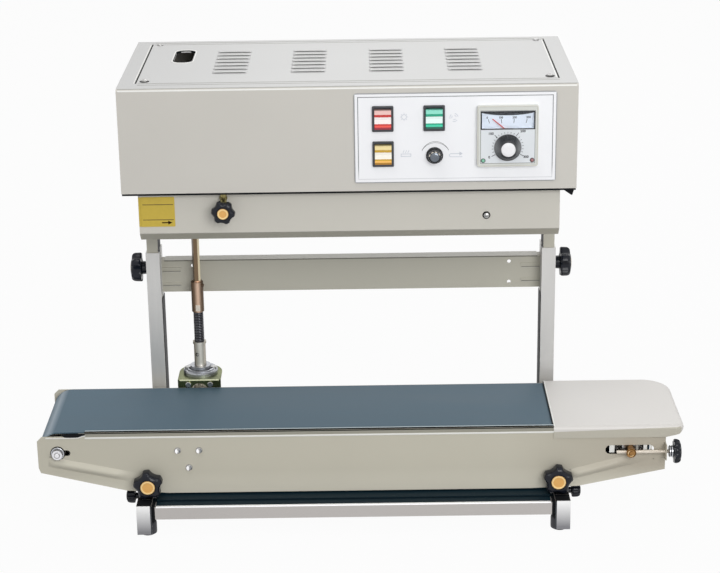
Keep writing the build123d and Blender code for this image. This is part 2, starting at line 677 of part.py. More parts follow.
def chassis_plate():
    """The head's floor, with bearing bosses for the wheel shafts and the conveyor drive hub."""
    gap = SHEET
    plate = block((-HALF_HEAD + gap, HALF_HEAD - gap), (gap, HEAD_DEPTH - gap), (HEAD_BOTTOM, CHASSIS_TOP))
    boss_low = HEAD_BOTTOM - 10
    for x in (-DRIVE_WHEEL_X, DRIVE_WHEEL_X):
        for y in (FRONT_WHEEL_Y, REAR_WHEEL_Y):
            plate += post(x, y, WHEEL_SHAFT_RADIUS + 5, boss_low, HEAD_BOTTOM)
            plate -= post(x, y, WHEEL_SHAFT_RADIUS + RUN_GAP, boss_low - 1, CHASSIS_TOP + 1)
    plate += post(DRIVE_X, DRIVE_Y, HUB_RADIUS + 5, boss_low, HEAD_BOTTOM)
    plate -= post(DRIVE_X, DRIVE_Y, HUB_RADIUS + RUN_GAP, boss_low - 1, CHASSIS_TOP + 1)
    for x, y in gearbox_feet():
        plate += post(x, y, 4.5, CHASSIS_TOP, GEARBOX_LOW)
    return [plate]


def gearbox_feet():
    reach_x = GEARBOX_HALF - 6
    reach_y = GEARBOX_HALF - 6
    return [(DRIVE_WHEEL_X + i * reach_x, REAR_WHEEL_Y + j * reach_y) for i in (-1, 1) for j in (-1, 1)]


def gear_motor():
    """A geared motor that stands over the rear drive wheel's shaft."""
    floor = block((DRIVE_WHEEL_X - GEARBOX_HALF, DRIVE_WHEEL_X + GEARBOX_HALF),
                  (REAR_WHEEL_Y - GEARBOX_HALF, REAR_WHEEL_Y + GEARBOX_HALF), (GEARBOX_LOW, GEARBOX_LOW + 4))
    housing = block((DRIVE_WHEEL_X - GEARBOX_HALF, DRIVE_WHEEL_X + GEARBOX_HALF - 4),
                    (REAR_WHEEL_Y - MOTOR_RADIUS - 2, REAR_WHEEL_Y + MOTOR_RADIUS + 2),
                    (GEARBOX_LOW + 4, GEARBOX_LOW + 8 + 2 * MOTOR_RADIUS))
    housing = chamfer(housing.edges().filter_by(Axis.Z), 4)
    gearbox = housing + floor
    gearbox -= post(DRIVE_WHEEL_X, REAR_WHEEL_Y, WHEEL_SHAFT_RADIUS + RUN_GAP,
                    GEARBOX_LOW - 1, GEARBOX_LOW + SHAFT_IN_GEARBOX + 2)
    end = DRIVE_WHEEL_X - GEARBOX_HALF
    z = GEARBOX_LOW + 6 + MOTOR_RADIUS
    motor = rod_x(REAR_WHEEL_Y, z, MOTOR_RADIUS, end - MOTOR_LENGTH, end)
    motor = fillet(motor.faces().sort_by(Axis.X)[0].edges(), 4)
    return [gearbox, motor]


def control_board():
    """The speed control board on pillars, with its transformer and capacitor, and the speed potentiometer."""
    left, front = BOARD_X, BOARD_Y
    right, back = left + BOARD_LENGTH, front + BOARD_DEPTH
    low = CHASSIS_TOP + PILLAR_HEIGHT
    high = low + BOARD_THICK
    pieces = [block((left, right), (front, back), (low, high))]
    for x in (left + PILLAR_INSET, right - PILLAR_INSET):
        for y in (front + PILLAR_INSET, back - PILLAR_INSET):
            pieces.append(post(x, y, PILLAR_RADIUS, CHASSIS_TOP, low))
    x, y = left + TRANSFORMER_INSET, front + TRANSFORMER_INSET
    pieces.append(block((x, x + TRANSFORMER[0]), (y, y + TRANSFORMER[1]), (high, high + TRANSFORMER[2])))
    x, y = left + CAPACITOR_PLACE[0], front + CAPACITOR_PLACE[1]
    pieces.append(post(x, y, CAPACITOR[0], high, high + CAPACITOR[1]))
    pot = rod_y(SPEED_KNOB_X, SPEED_KNOB_Z, 12, SHEET, SHEET + 10)
    pot -= rod_y(SPEED_KNOB_X, SPEED_KNOB_Z, SPINDLE_RADIUS + RUN_GAP, SHEET - 1, SHEET + 8)
    pieces.append(pot)
    return pieces


def fan_frame():
    """A square fan housing screwed inside the back, open through its middle, with a hub on three arms."""
    half = FAN_SIZE / 2
    back = HEAD_DEPTH - SHEET
    frame = block((FAN_X - half, FAN_X + half), (back - FAN_THICK, back), (FAN_Z - half, FAN_Z + half))
    frame -= rod_y(FAN_X, FAN_Z, half - 2, back - FAN_THICK - 1, back + 1)
    arm_front = back - 2
    hub = rod_y(FAN_X, FAN_Z, 11, arm_front, back)
    for number in range(3):
        arm = block((FAN_X - 1.5, FAN_X + 1.5), (arm_front, back), (FAN_Z, FAN_Z + half - 0.5))
        hub += arm.rotate(Axis((FAN_X, 0, FAN_Z), (0, 1, 0)), 120 * number)
    frame += hub
    frame -= rod_y(FAN_X, FAN_Z, 2 + RUN_GAP, arm_front - 1, back - 0.5)
    return [frame]


def fan_rotor():
    """Seven raked blades on a hub that turns on a short pin."""
    back = HEAD_DEPTH - SHEET
    front = back - FAN_THICK + 1.5
    rear = back - 2 - 0.6
    rotor = rod_y(FAN_X, FAN_Z, 10, front, rear)
    blade = Pos(FAN_X, (front + rear) / 2, FAN_Z + 17.5) * Rot(0, 0, 40) * Box(1.2, (rear - front) * 0.95, 18)
    for number in range(7):
        rotor += blade.rotate(Axis((FAN_X, 0, FAN_Z), (0, 1, 0)), 360 * number / 7)
    rotor += rod_y(FAN_X, FAN_Z, 2, rear, rear + 1.6)
    return [rotor]


# ---------------------------------------------------------------- head: covers below the casing
def lower_covers():
    """The front cover, a tray with chamfered lower edges, and the guard behind the bands."""
    half = HALF_COVER
    front, back = COVER_SETBACK, COVER_SETBACK + COVER_SIDE_DEPTH
    low = COVER_LOW - COVER_CHAMFER
    outside = block((-half, half), (front, back), (low, HEAD_BOTTOM))
    inside = block((-half + SHEET, half - SHEET), (front + SHEET, back + 1), (low - 1, HEAD_BOTTOM - SHEET))
    slope = COVER_CHAMFER
    cut = prism_x([(front - 1, COVER_LOW), (front, COVER_LOW), (front + slope, low), (front + slope, low - 1),
                   (front - 1, low - 1)], -half - 1, half + 1)
    outside -= cut
    shift = SHEET * (sqrt(2) - 1)
    core = inside - prism_x([(front, COVER_LOW + shift), (front + SHEET, COVER_LOW + shift),
                             (front + SHEET + slope + 2, low + shift - 2), (front, low - 3)], -half, half)
    cover = outside - core
    cover -= block((-half + SHEET, half - SHEET), (front + COVER_FLANGE, back + 1),
                   (HEAD_BOTTOM - SHEET - 1, HEAD_BOTTOM + 1))
    for x, z, radius in cover_holes():
        cover -= rod_y(x, z, radius + RUN_GAP, front - 1, front + SHEET + 1)
    reach = -DRIVE_X - GUARD_CLEAR
    guard_back = DRIVE_Y
    guard_front = REAR_WHEEL_Y
    guard = block((-reach, reach), (guard_front, guard_back), (GUARD_LOW, HEAD_BOTTOM))
    guard -= block((-reach + SHEET, reach - SHEET), (guard_front - 1, guard_back - SHEET),
                   (GUARD_LOW + SHEET, HEAD_BOTTOM + 1))
    guard -= block((-reach + GUARD_LIP, reach - GUARD_LIP), (guard_front - 1, guard_back - GUARD_LIP),
                   (GUARD_LOW - 1, GUARD_LOW + SHEET + 1))
    return [cover, guard]


def cover_holes():
    return [(COVER_SCREW_X, COVER_SCREW_Z, COVER_SCREW[2]), (COVER_KNOB_X, COVER_KNOB_Z, COVER_KNOB[3])]


def cover_latch():
    """The post hanging from the casing's front edge that the cover's knob screws through."""
    y = COVER_SETBACK - LATCH_RADIUS - 0.2
    pin = post(COVER_KNOB_X, y, LATCH_RADIUS, HEAD_BOTTOM - LATCH_LENGTH, HEAD_BOTTOM)
    pin -= rod_y(COVER_KNOB_X, COVER_KNOB_Z, COVER_KNOB[3] + RUN_GAP,
                 y - LATCH_RADIUS - 1, y + LATCH_RADIUS + 1)
    nut_low = HEAD_BOTTOM - 9
    nut = extrude(RegularPolygon((LATCH_RADIUS + 0.2) / cos(pi / 6), 6), amount=3.4)
    nut = Pos(COVER_KNOB_X, y, nut_low) * nut
    nut -= post(COVER_KNOB_X, y, LATCH_RADIUS, nut_low - 1, nut_low + 5)
    return [pin, nut]


def exit_guide():
    """A small rubber wedge that steers the bag's mouth out at the right-hand end."""
    left = HALF_COVER + 0.8
    outline = [(left, HEAD_BOTTOM), (left + 17, HEAD_BOTTOM), (left + 11, HEAD_BOTTOM - 9)]
    return [prism_y(outline, 2, 30)]


def label_plate():
    return [rounded_plate_y((LABEL_X - LABEL_WIDTH / 2, LABEL_X + LABEL_WIDTH / 2),
                            (LABEL_Z - LABEL_HEIGHT / 2, LABEL_Z + LABEL_HEIGHT / 2),
                            (COVER_SETBACK - LABEL_SHEET, COVER_SETBACK), 1.2)]


def head_fixings():
    """The lid's and cover's screws, and the gland at the back for a mains lead."""
    pieces = []
    for x, y in lid_screw_places():
        head = post(x, y, LID_SCREW[0], HEAD_TOP, HEAD_TOP + LID_SCREW[1])
        head = chamfer(head.faces().sort_by(Axis.Z)[-1].edges(), LID_SCREW[1] * 0.4)
        pieces.append(head + post(x, y, LID_SCREW[2], HEAD_TOP - 3 * SHEET, HEAD_TOP))
    pieces.append(screw_y(COVER_SCREW_X, COVER_SCREW_Z, COVER_SETBACK, *COVER_SCREW, 5))
    back = HEAD_DEPTH
    gland = rod_y(GLAND_X, GLAND_Z, GLAND_RADIUS, back - SHEET, back)
    gland += rod_y(GLAND_X, GLAND_Z, GLAND_RADIUS + 3, back, back + 4)
    gland += rod_y(GLAND_X, GLAND_Z, GLAND_RADIUS + 1.5, back + 4, back + 12)
    gland += rod_y(GLAND_X, GLAND_Z, GLAND_RADIUS + 3, back - SHEET - 4, back - SHEET)
    gland -= rod_y(GLAND_X, GLAND_Z, GLAND_RADIUS - 2, back - SHEET - 5, back + 13)
    pieces.append(gland)
    return pieces


# ---------------------------------------------------------------- head: control panel
def control_panel():
    """The panel plate on the casing's front, cut for the switches, the controller and the speed spindle."""
    panel = rounded_plate_y((PANEL_LEFT, PANEL_RIGHT), (PANEL_LOW, PANEL_HIGH), (PANEL_FRONT, 0),
                            PANEL_RADIUS)
    for x, z in SWITCH_PLACES.values():
        panel -= switch_hole(x, z, PANEL_FRONT - 1, 1)
    panel -= controller_hole(PANEL_FRONT - 1, 1)
    panel -= rod_y(SPEED_KNOB_X, SPEED_KNOB_Z, SPINDLE_RADIUS + 1, PANEL_FRONT - 1, 1)
    return [panel]


def switch_bodies():
    """Bezels with the hollow switch bodies behind them."""
    pieces = []
    for x, z in SWITCH_PLACES.values():
        bezel = rounded_plate_y((x - SWITCH_WIDTH / 2, x + SWITCH_WIDTH / 2),
                                (z - SWITCH_HEIGHT / 2, z + SWITCH_HEIGHT / 2),
                                (PANEL_FRONT - BEZEL_DEPTH, PANEL_FRONT), 1.5)
        body = switch_hole(x, z, PANEL_FRONT, PANEL_FRONT + SWITCH_DEPTH)
        well_x = SWITCH_WIDTH / 2 - BEZEL_RIM
        well_z = SWITCH_HEIGHT / 2 - BEZEL_RIM
        well = block((x - well_x, x + well_x),
                     (PANEL_FRONT - BEZEL_DEPTH - 1, PANEL_FRONT + SWITCH_DEPTH - 3),
                     (z - well_z, z + well_z))
        shell = bezel + body - well
        for side in (-1, 1):
            start = x + side * well_x
            shell += rod_x(ROCKER_PIVOT_Y, z, 1.5, *sorted((start - side * 1.5, start)))
        pieces.append(shell)
    return pieces


def rocker(colour):
    """A lit rocker: a shallow V across its pivot, tipped to its stop."""
    x, z = SWITCH_PLACES[colour]
    half_x = SWITCH_WIDTH / 2 - BEZEL_RIM - SLIDE_GAP
    half_z = SWITCH_HEIGHT / 2 - BEZEL_RIM - 1.2
    rise = half_z * tan(radians(ROCKER_TILT))
    front = PANEL_FRONT - BEZEL_DEPTH - 0.6
    outline = [(front, z), (front - rise, z + half_z), (ROCKER_PIVOT_Y + 2.6, z + half_z * 0.86),
               (ROCKER_PIVOT_Y + 4, z), (ROCKER_PIVOT_Y + 2.6, z - half_z * 0.86), (front - rise, z - half_z)]
    body = prism_x(outline, x - half_x, x + half_x)
    bore = rod_x(ROCKER_PIVOT_Y, z, 1.5 + RUN_GAP, x - half_x - 1, x - half_x + 1.4)
    body -= bore
    body -= rod_x(ROCKER_PIVOT_Y, z, 1.5 + RUN_GAP, x + half_x - 1.4, x + half_x + 1)
    return [body.rotate(Axis((x, ROCKER_PIVOT_Y, z), (1, 0, 0)), ROCKER_TILT)]


def speed_knob():
    front = PANEL_FRONT - 0.6
    grip = rod_y(SPEED_KNOB_X, SPEED_KNOB_Z, SPEED_KNOB_DIAMETER / 2, front - 2, front)
    grip += rod_y(SPEED_KNOB_X, SPEED_KNOB_Z, SPEED_KNOB_DIAMETER * 0.38, front - SPEED_KNOB_LENGTH, front)
    ridge = block((SPEED_KNOB_X - 1, SPEED_KNOB_X + 1), (front - SPEED_KNOB_LENGTH - 0.6, front - 2),
                  (SPEED_KNOB_Z, SPEED_KNOB_Z + SPEED_KNOB_DIAMETER * 0.42))
    spindle = rod_y(SPEED_KNOB_X, SPEED_KNOB_Z, SPINDLE_RADIUS, front, SHEET + 7)
    return [grip + ridge + spindle]


def controller_case():
    """The temperature controller: a bezel on the panel, and its body behind."""
    half_x, half_z = CONTROLLER_WIDTH / 2, CONTROLLER_HEIGHT / 2
    front = PANEL_FRONT - CONTROLLER_RIM
    case = rounded_plate_y((CONTROLLER_X - half_x, CONTROLLER_X + half_x),
                           (CONTROLLER_Z - half_z, CONTROLLER_Z + half_z), (front, PANEL_FRONT), 2.5)
    case = chamfer(case.faces().sort_by(Axis.Y)[0].edges(), 0.8)
    case += controller_hole(PANEL_FRONT, PANEL_FRONT + CONTROLLER_DEPTH)
    case -= meter_block(front - 1, front + METER_RECESS)
    well = (front + WINDOW_SHEET + 0.8, front + METER_RECESS)
    needle_well = rod_y(CONTROLLER_X, NEEDLE_PIVOT_Z, 6, *well)
    needle_well += block((CONTROLLER_X - 6, CONTROLLER_X + 6), well, (NEEDLE_PIVOT_Z, METER_Z))
    case -= needle_well
    case -= rod_y(CONTROLLER_X, DIAL_Z, SPINDLE_RADIUS + RUN_GAP, front - 1, front + 20)
    case += rod_y(CONTROLLER_X, NEEDLE_PIVOT_Z, 0.8, front + 2.2, front + METER_RECESS)
    for side in (-1, 1):
        case -= rod_y(CONTROLLER_X + side * LENS_SPREAD, LENS_Z, LENS_RADIUS, front - 1, front + 3)
    return [case]


def meter_block(low, high):
    return block((CONTROLLER_X - METER_WIDTH / 2, CONTROLLER_X + METER_WIDTH / 2), (low, high),
                 (METER_Z - METER_HEIGHT / 2, METER_Z + METER_HEIGHT / 2))


def meter_scale():
    back = PANEL_FRONT - CONTROLLER_RIM + METER_RECESS
    return [meter_block(back - SCALE_SHEET, back)]


def meter_window():
    front = PANEL_FRONT - CONTROLLER_RIM
    return [meter_block(front, front + WINDOW_SHEET)]


def meter_needle():
    """A pointer on a small hub, resting at the low end of its swing."""
    front = PANEL_FRONT - CONTROLLER_RIM + WINDOW_SHEET + 1.3
    hub = rod_y(CONTROLLER_X, NEEDLE_PIVOT_Z, 2.4, front, front + 1)
    arm = block((CONTROLLER_X - 0.5, CONTROLLER_X + 0.5), (front, front + 0.6),
                (NEEDLE_PIVOT_Z - 2, NEEDLE_PIVOT_Z + NEEDLE_LENGTH))
    needle = hub + arm - rod_y(CONTROLLER_X, NEEDLE_PIVOT_Z, 0.8 + RUN_GAP, front - 1, front + 2)
    return [needle.rotate(Axis((CONTROLLER_X, 0, NEEDLE_PIVOT_Z), (0, 1, 0)), -NEEDLE_SWING / 2)]


def dial_knob():
    front = PANEL_FRONT - CONTROLLER_RIM - 0.5
    dial = rod_y(CONTROLLER_X, DIAL_Z, DIAL_DIAMETER / 2, front - DIAL_SKIRT, front)
    dial = chamfer(dial.faces().sort_by(Axis.Y)[0].edges(), 1.2)
    dial += rod_y(CONTROLLER_X, DIAL_Z, DIAL_GRIP_DIAMETER / 2, front - DIAL_LENGTH, front - DIAL_SKIRT)
    dial += rod_y(CONTROLLER_X, DIAL_Z, SPINDLE_RADIUS, front, front + 18)
    return [dial]


def indicator_lenses():
    front = PANEL_FRONT - CONTROLLER_RIM
    lenses = []
    for side in (-1, 1):
        x = CONTROLLER_X + side * LENS_SPREAD
        lens = rod_y(x, LENS_Z, LENS_RADIUS, front - 1.2, front + 3)
        lenses.append(fillet(lens.faces().sort_by(Axis.Y)[0].edges(), 0.9))
    return lenses


# ---------------------------------------------------------------- head: sealing bands and driveline
def seal_bands():
    """The two band loops, whose inner runs carry the bag's mouth between them."""
    pieces = []
    for y in (FRONT_WHEEL_Y, REAR_WHEEL_Y):
        circles = [(-DRIVE_WHEEL_X, y, BAND_INNER), (DRIVE_WHEEL_X, y, BAND_INNER)]
        pieces.append(Pos(0, 0, BAND_LOW) * extrude(loop(circles, BAND_THICK), amount=BAND_WIDTH))
    return pieces


def seal_blocks():
    """Heating and cooling blocks behind each band's inner run, hung on pins from the chassis."""
    pieces = []
    face = WHEEL_CENTRE - BAND_INNER
    low = BAND_LOW + (BAND_WIDTH - BLOCK_HEIGHT) / 2
    for x in (-BLOCK_SPREAD / 2, BLOCK_SPREAD / 2):
        for side in (-1, 1):
            y = sorted((SEAL_Y + side * face, SEAL_Y + side * (face + BLOCK_DEPTH)))
            piece = block((x - BLOCK_LENGTH / 2, x + BLOCK_LENGTH / 2), y, (low, low + BLOCK_HEIGHT))
            for reach in (-BLOCK_LENGTH / 3, BLOCK_LENGTH / 3):
                piece += post(x + reach, (y[0] + y[1]) / 2, 3, low + BLOCK_HEIGHT, HEAD_BOTTOM)
            pieces.append(piece)
    return pieces


def band_wheel(y, driven, gear_turn):
    """A band wheel on its shaft; a driven one carries a gear, and the rear one the timing pulley."""
    x = DRIVE_WHEEL_X if driven else -DRIVE_WHEEL_X
    wheel = post(x, y, WHEEL_RADIUS, WHEEL_LOW, WHEEL_LOW + WHEEL_HEIGHT)
    wheel = chamfer(wheel.edges().filter_by(GeomType.CIRCLE), 1.0)
    shaft_high = CHASSIS_TOP
    if driven:
        teeth = gear_outline(GEAR_TEETH, GEAR_MODULE, GEAR_BACKLASH, gear_turn)
        gear = Pos(x, y, GEAR_LOW) * extrude(teeth, amount=GEAR_WIDTH)
        gear += post(x, y, WHEEL_SHAFT_RADIUS + 4, GEAR_LOW - 2, GEAR_LOW)
        wheel += gear
        shaft_high = GEAR_LOW + GEAR_WIDTH
    if driven and y == REAR_WHEEL_Y:
        wheel += post(x, y, PULLEY_RADIUS, PULLEY_LOW, PULLEY_LOW + PULLEY_WIDTH)
        shaft_high = GEARBOX_LOW + SHAFT_IN_GEARBOX
    wheel += post(x, y, WHEEL_SHAFT_RADIUS, WHEEL_LOW - 3, shaft_high)
    return [wheel]


def timing_belt():
    """Carries the motor's turn across the head to the conveyor drive hub."""
    inner = PULLEY_RADIUS + SLIDE_GAP
    circles = [(DRIVE_X, DRIVE_Y, inner), (DRIVE_WHEEL_X, REAR_WHEEL_Y, inner)]
    low = PULLEY_LOW + 0.5
    return [Pos(0, 0, low) * extrude(loop(circles, TIMING_THICK), amount=PULLEY_WIDTH - 1)]


def shaft_hub():
    """A pulley on a sleeve in the chassis, with a square hole that the drive bar slides through."""
    hub = post(DRIVE_X, DRIVE_Y, HUB_RADIUS, HEAD_BOTTOM - 12, PULLEY_LOW + PULLEY_WIDTH)
    hub += post(DRIVE_X, DRIVE_Y, PULLEY_RADIUS, PULLEY_LOW, PULLEY_LOW + PULLEY_WIDTH)
    hub += post(DRIVE_X, DRIVE_Y, HUB_RADIUS + 2.5, CHASSIS_TOP + 0.3, PULLEY_LOW)
    size = BAR_SIZE + 2 * BAR_GAP
    hole = Pos(DRIVE_X, DRIVE_Y, HEAD_BOTTOM) * Rot(0, 0, BAR_TURN) * Box(size, size, 2 * HEAD_HEIGHT)
    return [hub - hole]


def drive_bar():
    """The square bar, the brass sleeve pinned on its foot, and the sleeve's set screw."""
    seat_low = SLEEVE_HIGH - SLEEVE_SOCKET
    middle = (seat_low + BAR_TOP) / 2
    bar = Pos(DRIVE_X, DRIVE_Y, middle) * Rot(0, 0, BAR_TURN) * Box(BAR_SIZE, BAR_SIZE, BAR_TOP - seat_low)
    sleeve = post(DRIVE_X, DRIVE_Y, SLEEVE_RADIUS, SLEEVE_LOW, SLEEVE_HIGH)
    sleeve = chamfer(sleeve.edges().filter_by(GeomType.CIRCLE), 0.8)
    sleeve -= bar
    sleeve -= post(DRIVE_X, DRIVE_Y, COIL_RADIUS + RUN_GAP, SLEEVE_LOW - 1, SLEEVE_LOW + COIL_SEAT)
    z = SLEEVE_HIGH - 5
    screw = rod_x(DRIVE_Y, z, 2.0, DRIVE_X + BAR_SIZE * 0.6, DRIVE_X + SLEEVE_RADIUS + 1.4)
    screw = screw.rotate(Axis((DRIVE_X, DRIVE_Y, 0), (0, 0, 1)), BAR_TURN - 45)
    return [bar, sleeve - screw, screw]


def flex_coil():
    """The close-wound spring that lets the driveline bend when the conveyor is moved."""
    low = COUPLING_HIGH - COIL_SEAT
    high = SLEEVE_LOW + COIL_SEAT
    coil = post(DRIVE_X, DRIVE_Y, COIL_RADIUS, low, high)
    return [coil - post(DRIVE_X, DRIVE_Y, COIL_BORE_RADIUS, low - 1, high + 1)]


def bevel_gear(turn):
    """A mitre gear: apex at the origin, outer end towards +Z, teeth thinned to run free."""
    root = BEVEL_PITCH - 1.9
    outer = BEVEL_PITCH + 1.2
    half_root = radians(5.4)
    half_tip = radians(2.2)
    points = []
    for number in range(BEVEL_TEETH):
        middle = radians(turn) + 2 * pi * number / BEVEL_TEETH
        for radius, angle in ((root, -half_root), (outer, -half_tip), (outer, half_tip), (root, half_root)):
            points.append((radius * cos(middle + angle), radius * sin(middle + angle)))
    ends = []
    for share in (1 - BEVEL_FACE, 1):
        outline = Polyline(*[(x * share, y * share) for x, y in points], close=True)
        ends.append(Pos(0, 0, BEVEL_PITCH * share) * make_face(outline))
    return loft(ends, ruled=True)


def lower_coupling():
    """The coupling under the spring, and the short shaft below it that ends in a bevel pinion."""
    coupling = post(DRIVE_X, DRIVE_Y, COUPLING_RADIUS, COUPLING_LOW, COUPLING_HIGH)
    coupling += post(DRIVE_X, DRIVE_Y, COLLAR_RADIUS, COUPLING_HIGH - COLLAR_HEIGHT, COUPLING_HIGH)
    coupling -= post(DRIVE_X, DRIVE_Y, COIL_RADIUS + RUN_GAP, COUPLING_HIGH - COIL_SEAT, COUPLING_HIGH + 1)
    shaft_high = COUPLING_HIGH - COIL_SEAT - 4
    shaft = post(DRIVE_X, DRIVE_Y, BEVEL_SHAFT, ROLLER_Z + BEVEL_PITCH - 1, shaft_high)
    coupling -= shaft
    shaft += Pos(DRIVE_X, DRIVE_Y, ROLLER_Z) * bevel_gear(0)
    shaft += post(DRIVE_X, DRIVE_Y, 10, ROLLER_Z + BEVEL_PITCH, ROLLER_Z + BEVEL_PITCH + 5)
    return [coupling, shaft]


# ---------------------------------------------------------------- conveyor
def bearing_housings():
    """The flanged bearing on the bracket, and the carriers of the drive roller's ends."""
    low = BRACKET_TOP
    top = post(DRIVE_X, DRIVE_Y, FLANGE_RADIUS, low, low + FLANGE_THICK)
    top = chamfer(top.faces().sort_by(Axis.Z)[-1].edges(), 1.5)
    top += post(DRIVE_X, DRIVE_Y, FLANGE_HUB_RADIUS, low, COUPLING_LOW + 2)
    top -= post(DRIVE_X, DRIVE_Y, COUPLING_RADIUS + SLIDE_GAP, COUPLING_LOW - SLIDE_GAP, COUPLING_LOW + 3)
    top -= post(DRIVE_X, DRIVE_Y, BEVEL_SHAFT + RUN_GAP, low - 1, COUPLING_LOW + 3)
    for side in (-1, 1):
        top -= post(DRIVE_X + side * FLANGE_BOLT_REACH, DRIVE_Y, CONVEYOR_BOLT[2] + RUN_GAP,
                    low - 1, low + FLANGE_THICK + 1)
    front = PLATE_FRONT + SHEET
    front_carrier = rod_y(CARRIER_X, CARRIER_Z, CARRIER_RADIUS, front, front + CARRIER_THICK)
    front_carrier -= rod_y(DRIVE_X, ROLLER_Z, ROLLER_AXLE_RADIUS + RUN_GAP,
                           front - 1, front + CARRIER_THICK + 1)
    for x, z in carrier_bolts():
        front_carrier -= rod_y(x, z, CONVEYOR_BOLT[2] + RUN_GAP, front - 1, front + CARRIER_THICK + 1)
    back_carrier = rod_y(DRIVE_X, ROLLER_Z, 14, PLATE_BACK - SHEET - 2.0, PLATE_BACK - SHEET)
    back_carrier -= rod_y(DRIVE_X, ROLLER_Z, ROLLER_AXLE_RADIUS + RUN_GAP, PLATE_BACK - 8, PLATE_BACK)
    return [top, front_carrier, back_carrier]


def carrier_bolts():
    places = []
    for angle in (150, 30, 270):
        places.append((CARRIER_X + CARRIER_BOLT_CIRCLE * cos(radians(angle)),
                       CARRIER_Z + CARRIER_BOLT_CIRCLE * sin(radians(angle))))
    return places


def bracket_width():
    return DRIVE_X - BRACKET_HALF, DRIVE_X + BRACKET_HALF


def bracket_arch(low, high):
    """Room for the mitre gears under the shelf, open below."""
    top = BRACKET_TOP - BRACKET_SHEET - 3
    arch = rod_y(DRIVE_X, top - BRACKET_ARCH, BRACKET_ARCH, low, high)
    return arch + block((DRIVE_X - BRACKET_ARCH, DRIVE_X + BRACKET_ARCH), (low, high),
                        (top - BRACKET_ARCH - 30, top - BRACKET_ARCH))


def bracket_bolts():
    return [(DRIVE_X + side * BRACKET_BOLT_REACH, BRACKET_BOLT_Z) for side in (-1, 1)]


def bearing_bracket():
    """A plated shelf with a round back, bolted by its folded front edge to the back plate's upstand."""
    low, high = BRACKET_TOP - BRACKET_SHEET, BRACKET_TOP
    front = EAR_REAR - BRACKET_SHEET
    shelf = block(bracket_width(), (front, DRIVE_Y), (low, high))
    shelf += post(DRIVE_X, DRIVE_Y, BRACKET_HALF, low, high)
    fold = block(bracket_width(), (front, front + BRACKET_SHEET), (BRACKET_LOW, high))
    bracket = shelf + fold - bracket_arch(front - 1, front + BRACKET_SHEET + 1)
    bracket -= post(DRIVE_X, DRIVE_Y, 11, low - 1, high + 1)
    for side in (-1, 1):
        bracket -= post(DRIVE_X + side * FLANGE_BOLT_REACH, DRIVE_Y, CONVEYOR_BOLT[2] + RUN_GAP,
                        low - 1, high + 1)
    for x, z in bracket_bolts():
        bracket -= rod_y(x, z, CONVEYOR_BOLT[2] + RUN_GAP, front - 1, front + BRACKET_SHEET + 1)
    return [bracket]


def roller(x, z):
    """A roller between the belt's edges: a tube round a hub, joined by a web half way."""
    front, back = BELT_FRONT + ROLLER_INSET, BELT_BACK - ROLLER_INSET
    tube = chamfer(rod_y(x, z, ROLLER_RADIUS, front, back).edges().filter_by(GeomType.CIRCLE), 1.0)
    depth = (back - front) / 2 - ROLLER_WALL
    for low, high in ((front, front + depth), (back - depth, back)):
        hub = rod_y(x, z, ROLLER_AXLE_RADIUS + ROLLER_WALL, low, high)
        tube -= rod_y(x, z, ROLLER_RADIUS - ROLLER_WALL, low, high) - hub
    return tube


def drive_roller():
    """The driven roller with its own axle, and the mitre gear behind the back plate."""
    body = roller(DRIVE_X, ROLLER_Z)
    body += rod_y(DRIVE_X, ROLLER_Z, ROLLER_AXLE_RADIUS, PLATE_FRONT + SHEET + 1, DRIVE_Y - BEVEL_PITCH)
    gear = Rot(90, 0, 0) * bevel_gear(180 / BEVEL_TEETH)
    body += Pos(DRIVE_X, DRIVE_Y, ROLLER_Z) * gear
    return [body]


def idle_roller(x, z):
    body = roller(x, z)
    return [body - rod_y(x, z, ROLLER_AXLE_RADIUS + RUN_GAP, BELT_FRONT - 1, BELT_BACK + 1)]


def tension_axle():
    """The far roller's axle, flattened in the slots, and the brass trunnion that the screw pulls."""
    axle = rod_y(TENSION_X, TENSION_Z, ROLLER_AXLE_RADIUS - RUN_GAP, PLATE_FRONT - 0.6, PLATE_BACK + 2)
    trunnion = rod_y(TENSION_X, TENSION_Z, TRUNNION_RADIUS, TENSION_ROD_Y - TRUNNION_REACH, PLATE_FRONT - 0.6)
    trunnion = chamfer(trunnion.faces().sort_by(Axis.Y)[0].edges(), 0.8)
    trunnion -= rod_x(TENSION_ROD_Y, TENSION_Z, TENSION_KNOB[3] + RUN_GAP, TENSION_X - 20, TENSION_X + 20)
    return [axle, trunnion]


def conveyor_belt():
    """The endless belt round both end rollers, held up by the bed."""
    nose_z = BED_TOP - BED_NOSE
    circles = [(END_ROLLER_X, ROLLER_Z, BELT_INNER), (TENSION_X, TENSION_Z, BELT_INNER),
               (BED_RIGHT, nose_z, BED_NOSE)]
    section = loop(circles, BELT_THICK)
    belt = extrude(Plane.XZ * section, amount=BELT_WIDTH, dir=(0, -1, 0))
    return [Pos(0, BELT_BACK, 0) * belt]


